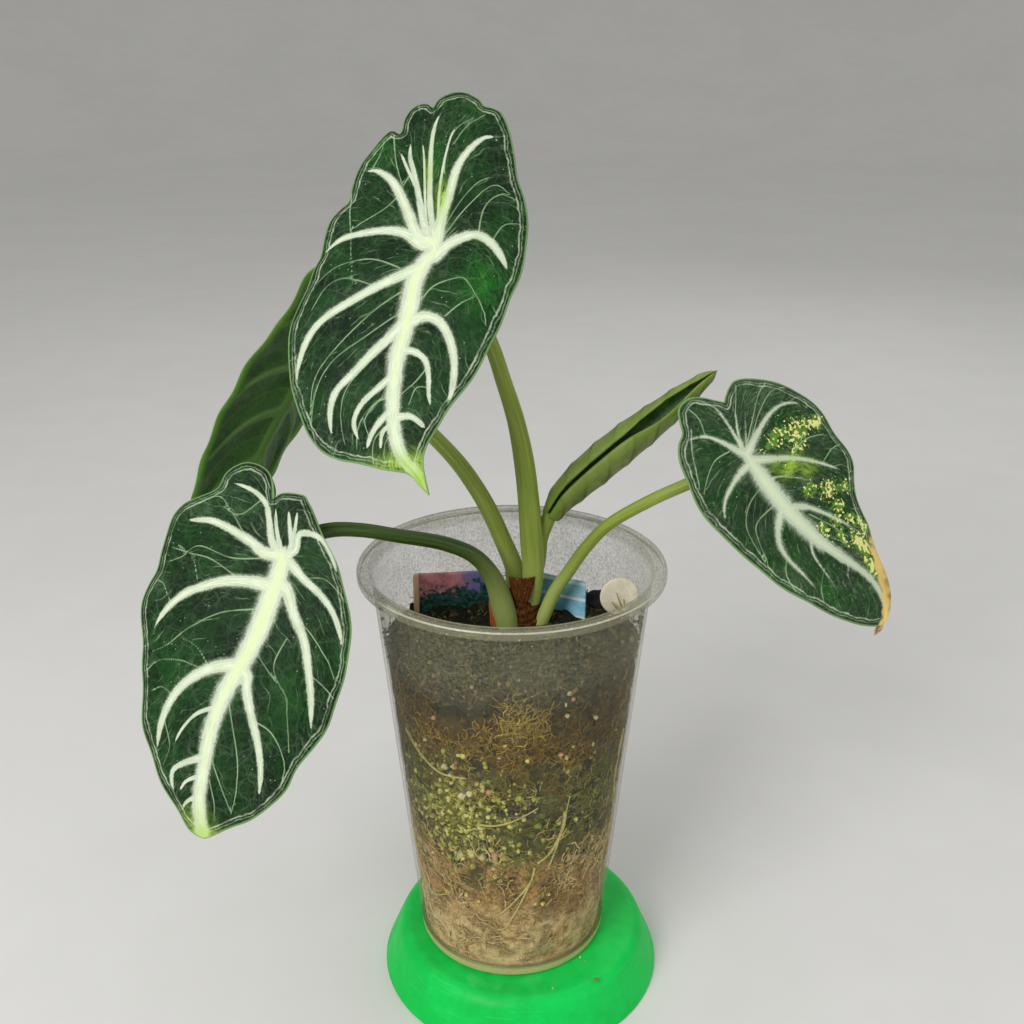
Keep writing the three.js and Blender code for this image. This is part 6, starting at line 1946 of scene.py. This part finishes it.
class ALOCASIA_OT_moss(bpy.types.Operator):
    """Make the moss strands, grit and roots that show through the cup, and the moss on top"""

    bl_idname = "alocasia.moss"
    bl_label = "Moss, grit and roots"

    def execute(self, context):
        look = context.scene.alocasia_fill
        rng = np.random.default_rng(look.seed)
        for name, share, low, high, length, thick, tones in MOSS:
            bundle = moss_bundle(rng, int(look.strands * share), low, high, length, thick)
            add_fill(name, bundle, strand_paint(name.replace("moss", "tone"), *tones))
        paint = strand_paint("tone_gold", (132, 104, 28), (186, 156, 62), (216, 190, 100))
        add_fill("moss_clump", moss_bundle(rng, **CLUMP), paint)
        self.grit(rng, look.grit)
        self.roots()
        self.tufts(rng)
        return {"FINISHED"}

    def grit(self, rng, count):
        """Pale mossy heads and grains: most in a cluster at the left, the rest smaller and all round."""
        near = int(HEADS["share"] * count)
        far = count - near
        turn = np.concatenate([rng.normal(*HEADS["turn"], near), rng.uniform(0, 2 * np.pi, far)])
        z = np.concatenate([rng.normal(*HEADS["height"], near), rng.uniform(*HEADS["heights_round"], far)])
        sizes = [rng.uniform(*HEADS["sizes"], near), rng.uniform(*HEADS["sizes_round"], far)]
        sizes = np.concatenate(sizes)
        paint = strand_paint("perlite", (100, 104, 20), (170, 170, 66), (220, 214, 124))
        places = on_wall(turn, np.clip(z, *HEADS["limits"]), 0.35 + sizes)
        add_fill("perlite_grains", grains(rng, places, sizes, dent=0.5), paint)

    def roots(self):
        """Roots that run down the inside of the wall, thinner towards their ends."""
        bundles = []
        for thick, places in WALL_ROOTS:
            route = smooth_line(places, 10)
            path = on_wall(np.radians(route[:, 0]), route[:, 1], 0.15 + thick)
            taper = np.linspace(1, 0.55, len(path))
            points, quads, _ = tubes(path[None], (thick * taper)[None], 8)
            bundles.append((points, quads, np.full(len(points), 0.8)))
        paint = strand_paint("root_pale", (150, 140, 60), (176, 164, 84), (206, 196, 120))
        add_fill("wall_roots", joined(*bundles), paint)

    def tufts(self, rng, count=1500, steps=5):
        """Short strands that stand up from the top of the filling and lean over."""
        reach = 40 * np.sqrt(rng.uniform(0.01, 1, count))
        turn = rng.uniform(0, 2 * np.pi, count)
        x, y = reach * np.cos(turn), reach * np.sin(turn)
        lean = rng.uniform(0, 2 * np.pi, count)[:, None]
        t = np.linspace(0, 1, steps)
        size = rng.uniform(1.2, 3.4, count)[:, None]
        bend = rng.uniform(0.3, 1.0, count)[:, None] * size * t
        rise = soil_top(x, y)[:, None] - 1.0 + size * (t - 0.35 * t**2)
        path = np.stack([x[:, None] + bend * np.cos(lean), y[:, None] + bend * np.sin(lean), rise], -1)
        path = path[np.linalg.norm(path[:, -1, :2], axis=1) < 39.2]
        radii = rng.uniform(0.16, 0.34, (len(path), 1)) * np.array([1, 1, 0.9, 0.6, 0.25])[None]
        points, quads, _ = tubes(path, radii, 3)
        age = np.repeat(rng.uniform(0, 1, len(path)), (steps + 2) * 3)
        paint = strand_paint("moss_green", (20, 34, 12), (46, 62, 20), (110, 112, 44))
        add_fill("moss_tufts", (points, quads, age), paint)


class ALOCASIA_OT_crumbs(bpy.types.Operator):
    """Make the crumbs on the wall and the saucer, the dark lump and the sprig at the round tag"""

    bl_idname = "alocasia.crumbs"
    bl_label = "Crumbs, pebble and sprig"

    def execute(self, context):
        look = context.scene.alocasia_fill
        rng = np.random.default_rng(look.seed + 1)
        size = rng.uniform(0.2, 0.75, look.crumbs)
        turn = rng.uniform(np.pi, 2 * np.pi, look.crumbs)
        z = SOIL_LEVEL - 4 + 20 * rng.beta(1, 2.8, look.crumbs)
        dark = strand_paint("crumb_dark", (22, 22, 10), (56, 50, 24), (140, 112, 66))
        add_fill("wall_crumbs", grains(rng, on_wall(turn, z, 0.1 + 0.8 * size), size), dark)
        z, turn, size = np.array(PALE_BITS).T
        pale = strand_paint("crumb_pale", (206, 150, 110), (206, 196, 130), (228, 222, 176))
        add_fill("pale_bits", grains(rng, on_wall(np.radians(turn), z, 0.2 + size), size), pale)
        x, y, size = np.array(SAUCER_CRUMBS).T
        straw = strand_paint("crumb_straw", (120, 150, 50), (190, 180, 90), (220, 204, 130))
        places = np.stack([x, y, SAUCER["height"] + 0.6 * size], -1)
        add_fill("saucer_crumbs", grains(rng, places, size), straw)
        dark_grey = strand_paint("lump_grey", (30, 32, 32), (52, 54, 52), (70, 70, 66))
        lump = grains(rng, [DARK_LUMP["centre"]], [DARK_LUMP["radius"]], rings=24, around=36, dent=3.0)
        add_fill("dark_lump", lump, dark_grey)
        twig = strand_paint("sprig_olive", (96, 92, 22), (144, 140, 48), (170, 164, 76))
        add_fill("moss_sprig", sprig_shape(), twig)
        return {"FINISHED"}


# Labels


def card_shape(ends, rows=40, columns=70):
    """Upright card: a grid between two places in the cup, bowed a little, with its corners drawn in by a
    circle's quarter. Gives each point's place on the card in millimetres from its lower left."""
    (x0, y0), (x1, y1) = ends
    length, high = math.hypot(x1 - x0, y1 - y0), CARD["top"] - CARD["bottom"]
    across, upward = np.meshgrid(np.linspace(0, length, columns), np.linspace(0, high, rows))
    corner = CARD["corner"]
    near_side = np.clip(corner - np.minimum(across, length - across), 0, corner)
    near_end = np.clip(corner - np.minimum(upward, high - upward), 0, corner)
    drawn = corner - np.sqrt(np.clip(corner**2 - near_side**2, 0, None))
    upward = high / 2 + (upward - high / 2) * (1 - 2 * drawn / high * (near_end > 0))
    along = np.array([x1 - x0, y1 - y0]) / length
    bow = CARD["bow"] * np.sin(np.pi * across / length)
    x = x0 + along[0] * across + along[1] * bow
    y = y0 + along[1] * across - along[0] * bow
    middle = np.stack([x, y, CARD["bottom"] + upward], -1)
    points, quads, _ = sheet(middle, CARD["thickness"], border=2)
    return points, quads, np.tile(np.stack([across, upward], -1).reshape(-1, 2), (2, 1))


def picture_paint():
    """Printed card: tan edge, dusky pink, violet blue to the right and dark leafy blotches below."""
    s = material("card_picture")
    place, uv = s.place(), s.node("UVMap", {})
    across, upward, _ = s.parts(uv)
    base = s.mottled(place, 0.25, tone(150, 92, 98), tone(200, 130, 132))
    base = s.mix(s.ramp(across, 13.0, 20.0), base, tone(112, 110, 158))
    leafy = s.noise(s.scaled(uv, 0.34, 0.34, 1.0), 1.0, 3.0, 0.6, 0.6)
    low = s.fused(upward, -0.05, s.fused(across, 0.004, 0.78))
    leaves = s.ramp(s.math("ADD", leafy, low), 0.46, 0.56)
    shade = s.mix(s.ramp(s.noise(uv, 0.7, 2.0), 0.35, 0.65), tone(14, 34, 18), tone(46, 92, 88))
    base = s.mix(leaves, base, shade)
    base = s.mix(s.ramp(across, 1.6, 2.0, 1, 0), base, tone(208, 172, 132))
    worn = s.group(scuff_effect(), {"Place": place}, out=None)
    base = s.mix(s.times(worn["Lines"], 0.25), base, tone(210, 196, 190))
    return s.finish(base, 0.42, s.bump(s.noise(place, 1.4), 0.06))


def striped_paint():
    """Printed card: sky blue with a white top edge, one pale line across and a whitish foot."""
    s = material("card_striped")
    place = s.place()
    upward = s.parts(s.node("UVMap", {}))[1]
    base = s.mottled(place, 0.2, tone(96, 172, 198), tone(136, 200, 218))
    for level in STRIPES:
        base = s.mix(s.ramp(s.away(upward, level), 0.3, 0.7, 0.9, 0), base, tone(226, 236, 240))
    base = s.mix(s.ramp(upward, 9.4, 10.4, 0.9, 0), base, tone(216, 222, 214))
    worn = s.group(scuff_effect(), {"Place": place}, out=None)
    base = s.mix(s.times(worn["Clouds"], 0.2), base, tone(210, 220, 220))
    return s.finish(base, 0.4, s.bump(s.noise(place, 1.4), 0.06))


def tag_paint():
    """Round tag: cream plastic with soil stains low down and fine scratches."""
    s = material("tag_cream")
    place = s.place()
    base = s.mottled(place, 0.25, tone(214, 204, 178), tone(234, 226, 204))
    height = s.parts(place)[2]
    stain = s.times(s.ramp(height, 131.0, 137.0, 0.8, 0.1), s.noise(place, 0.5, 3.0, 0.65))
    base = s.mix(stain, base, tone(120, 104, 62))
    return s.finish(base, 0.5, s.bump(s.noise(place, 1.2, 3.0), 0.08))


def tag_shape():
    """Round tag: a disc with rounded rims, turned about its own axis, stood on edge, leant and turned."""
    half, radius = ROUND_TAG["thickness"] / 2, ROUND_TAG["radius"]
    rim = np.linspace(-np.pi / 2, np.pi / 2, 9)
    edge = np.c_[radius - half + half * np.cos(rim), half * np.sin(rim)]
    steps = np.linspace(0, radius - half, 12)[:, None]
    lower, upper = (np.c_[steps, level + 0 * steps] for level in (-half, half))
    points, quads, _ = turned(np.concatenate([lower[:-1], edge, upper[::-1][1:]]), 72)
    yaw = Matrix.Rotation(math.radians(ROUND_TAG["yaw"]), 3, "Z")
    stand = yaw @ Matrix.Rotation(math.radians(90 - ROUND_TAG["lean"]), 3, "X")
    return points @ np.array(stand).T + np.array(ROUND_TAG["centre"]), quads


class ALOCASIA_OT_labels(bpy.types.Operator):
    """Make the two card labels and the round tag"""

    bl_idname = "alocasia.labels"
    bl_label = "Labels"

    def execute(self, context):
        for name, ends, paint, slot in (
            ("card_picture", PICTURE_CARD, picture_paint(), "picture_label"),
            ("card_striped", STRIPED_CARD, striped_paint(), "striped_label"),
        ):
            points, quads, uv = card_shape(ends)
            add_piece(name, points, quads, [paint], [name.replace("card", "label")], uv=uv)
        points, quads = tag_shape()
        add_piece("round_plaque", points, quads, [tag_paint()], ["tag_round"], sharp=60)
        return {"FINISHED"}


# Floor, light and camera

# Area lights in metres: name, place, size, and the share of the setting that gives their power
LIGHTS = (
    ("key_light", (-0.55, -0.75, 0.75), 0.55, "key", 1.0),
    ("fill_light", (0.8, -0.5, 0.45), 0.8, "fill", 1.0),
    ("top_light", (0.0, 0.1, 1.25), 1.2, "fill", 1.0),
    ("back_light", (0.4, 0.9, 0.8), 0.8, "fill", 0.8),
)


class StageSettings(bpy.types.PropertyGroup):
    """Floor, light and camera."""

    floor: colour("Floor", "Pale floor", 214, 213, 209)
    room: measure("Room", "Strength of the light from all round", 0.48)
    key: measure("Key light", "Power of the main light", 9.0, unit="POWER")
    fill: measure("Fill light", "Power of the soft light", 1.6, unit="POWER")
    lens: measure("Lens", "Focal length in millimetres on a 36 mm sensor", 40.43)
    distance: measure("Distance", "Camera before the cup's axis", 0.326, unit="LENGTH")
    height: measure("Height", "Camera above the floor", 0.299, unit="LENGTH")
    pitch: measure("Pitch", "Camera's tilt below level, in degrees", 21.8)


def floor_paint(pale):
    """Plain pale floor with the slightest mottling."""
    s = material("floor_pale")
    return s.finish(s.mottled(s.place(), 0.004, pale, tuple(1.04 * share for share in pale)), 0.7)


def area_light(name, place, target, size, power):
    """A square soft light that faces a target."""
    data = bpy.data.lights.new(name, "AREA")
    data.size, data.energy = size, power
    light = bpy.data.objects.new(name, data)
    light.location = place
    light.rotation_euler = (Vector(target) - Vector(place)).to_track_quat("-Z", "Y").to_euler()
    bpy.context.scene.collection.objects.link(light)


class ALOCASIA_OT_stage(bpy.types.Operator):
    """Make the floor, the soft lights and the camera"""

    bl_idname = "alocasia.stage"
    bl_label = "Floor, light and camera"

    def execute(self, context):
        look = context.scene.alocasia_stage
        rise = np.linspace(0, np.pi / 3, 16)
        curve = np.c_[3 + 2 * np.sin(rise), 2 * (1 - np.cos(rise))]
        profile = np.concatenate([np.c_[np.linspace(0, 2.8, 12), np.zeros(12)], curve])
        points, quads, _ = turned(profile, 96)
        mesh = bpy.data.meshes.new("floor")
        first, squares, triangles, number = merged(points * 1000, quads)
        mesh.from_pydata(points[first], [], [*number[squares].tolist(), *number[triangles].tolist()])
        mesh.polygons.foreach_set("use_smooth", np.ones(len(mesh.polygons), bool))
        mesh.materials.append(floor_paint(look.floor))
        floor = bpy.data.objects.new("floor", mesh)
        context.scene.collection.objects.link(floor)
        low, high = cad_box
        centre = (low + high) / 2
        for name, place, size, power, share in LIGHTS:
            area_light(name, place, centre, size, getattr(look, power) * share)
        world = bpy.data.worlds.new("soft_room")
        world.use_nodes = True
        sky = world.node_tree.nodes["Background"].inputs
        sky["Color"].default_value = (1, 1, 1, 1)
        sky["Strength"].default_value = look.room
        context.scene.world = world
        data = bpy.data.cameras.new("camera")
        data.sensor_width, data.lens = 36.0, look.lens
        data.clip_start, data.clip_end = 0.01, 20
        camera = bpy.data.objects.new("camera", data)
        camera.location = (AXIS[0], AXIS[1] - look.distance, look.height)
        camera.rotation_euler = (math.radians(90 - look.pitch), 0, 0)
        context.scene.collection.objects.link(camera)
        context.scene.camera = camera
        context.scene.view_settings.view_transform = "Standard"
        return {"FINISHED"}


# Panel and registration

OPERATORS = (
    ALOCASIA_OT_stage,
    ALOCASIA_OT_saucer,
    ALOCASIA_OT_cup,
    ALOCASIA_OT_filling,
    ALOCASIA_OT_moss,
    ALOCASIA_OT_crumbs,
    ALOCASIA_OT_labels,
    ALOCASIA_OT_crown,
    ALOCASIA_OT_stalks,
    ALOCASIA_OT_blades,
    ALOCASIA_OT_new_leaf,
)

SETTINGS = {
    "alocasia_leaves": LeafSettings,
    "alocasia_growth": GrowthSettings,
    "alocasia_pot": PotSettings,
    "alocasia_fill": FillSettings,
    "alocasia_stage": StageSettings,
}


class ALOCASIA_PT_panel(bpy.types.Panel):
    """Buttons for the pieces and the values that they are made from"""

    bl_idname = "ALOCASIA_PT_panel"
    bl_label = "Potted alocasia"
    bl_space_type = "VIEW_3D"
    bl_region_type = "UI"
    bl_category = "Alocasia"

    def draw(self, context):
        for operator in OPERATORS:
            self.layout.operator(operator.bl_idname)
        for holder, settings in SETTINGS.items():
            box = self.layout.box()
            box.label(text=settings.__doc__)
            for name in settings.__annotations__:
                box.prop(getattr(context.scene, holder), name)


def register():
    """Registers the classes and hangs the settings on the scene."""
    for made in (*SETTINGS.values(), *OPERATORS, ALOCASIA_PT_panel):
        bpy.utils.register_class(made)
    for holder, settings in SETTINGS.items():
        setattr(bpy.types.Scene, holder, PointerProperty(type=settings))


def unregister():
    """Takes the settings and the classes away again."""
    for holder in SETTINGS:
        delattr(bpy.types.Scene, holder)
    for made in reversed((*SETTINGS.values(), *OPERATORS, ALOCASIA_PT_panel)):
        bpy.utils.unregister_class(made)


def main():
    """Registers the add-on and makes every piece in order."""
    register()
    for operator in OPERATORS:
        group, name = operator.bl_idname.split(".")
        getattr(getattr(bpy.ops, group), name)()


if __name__ == "__main__":
    main()
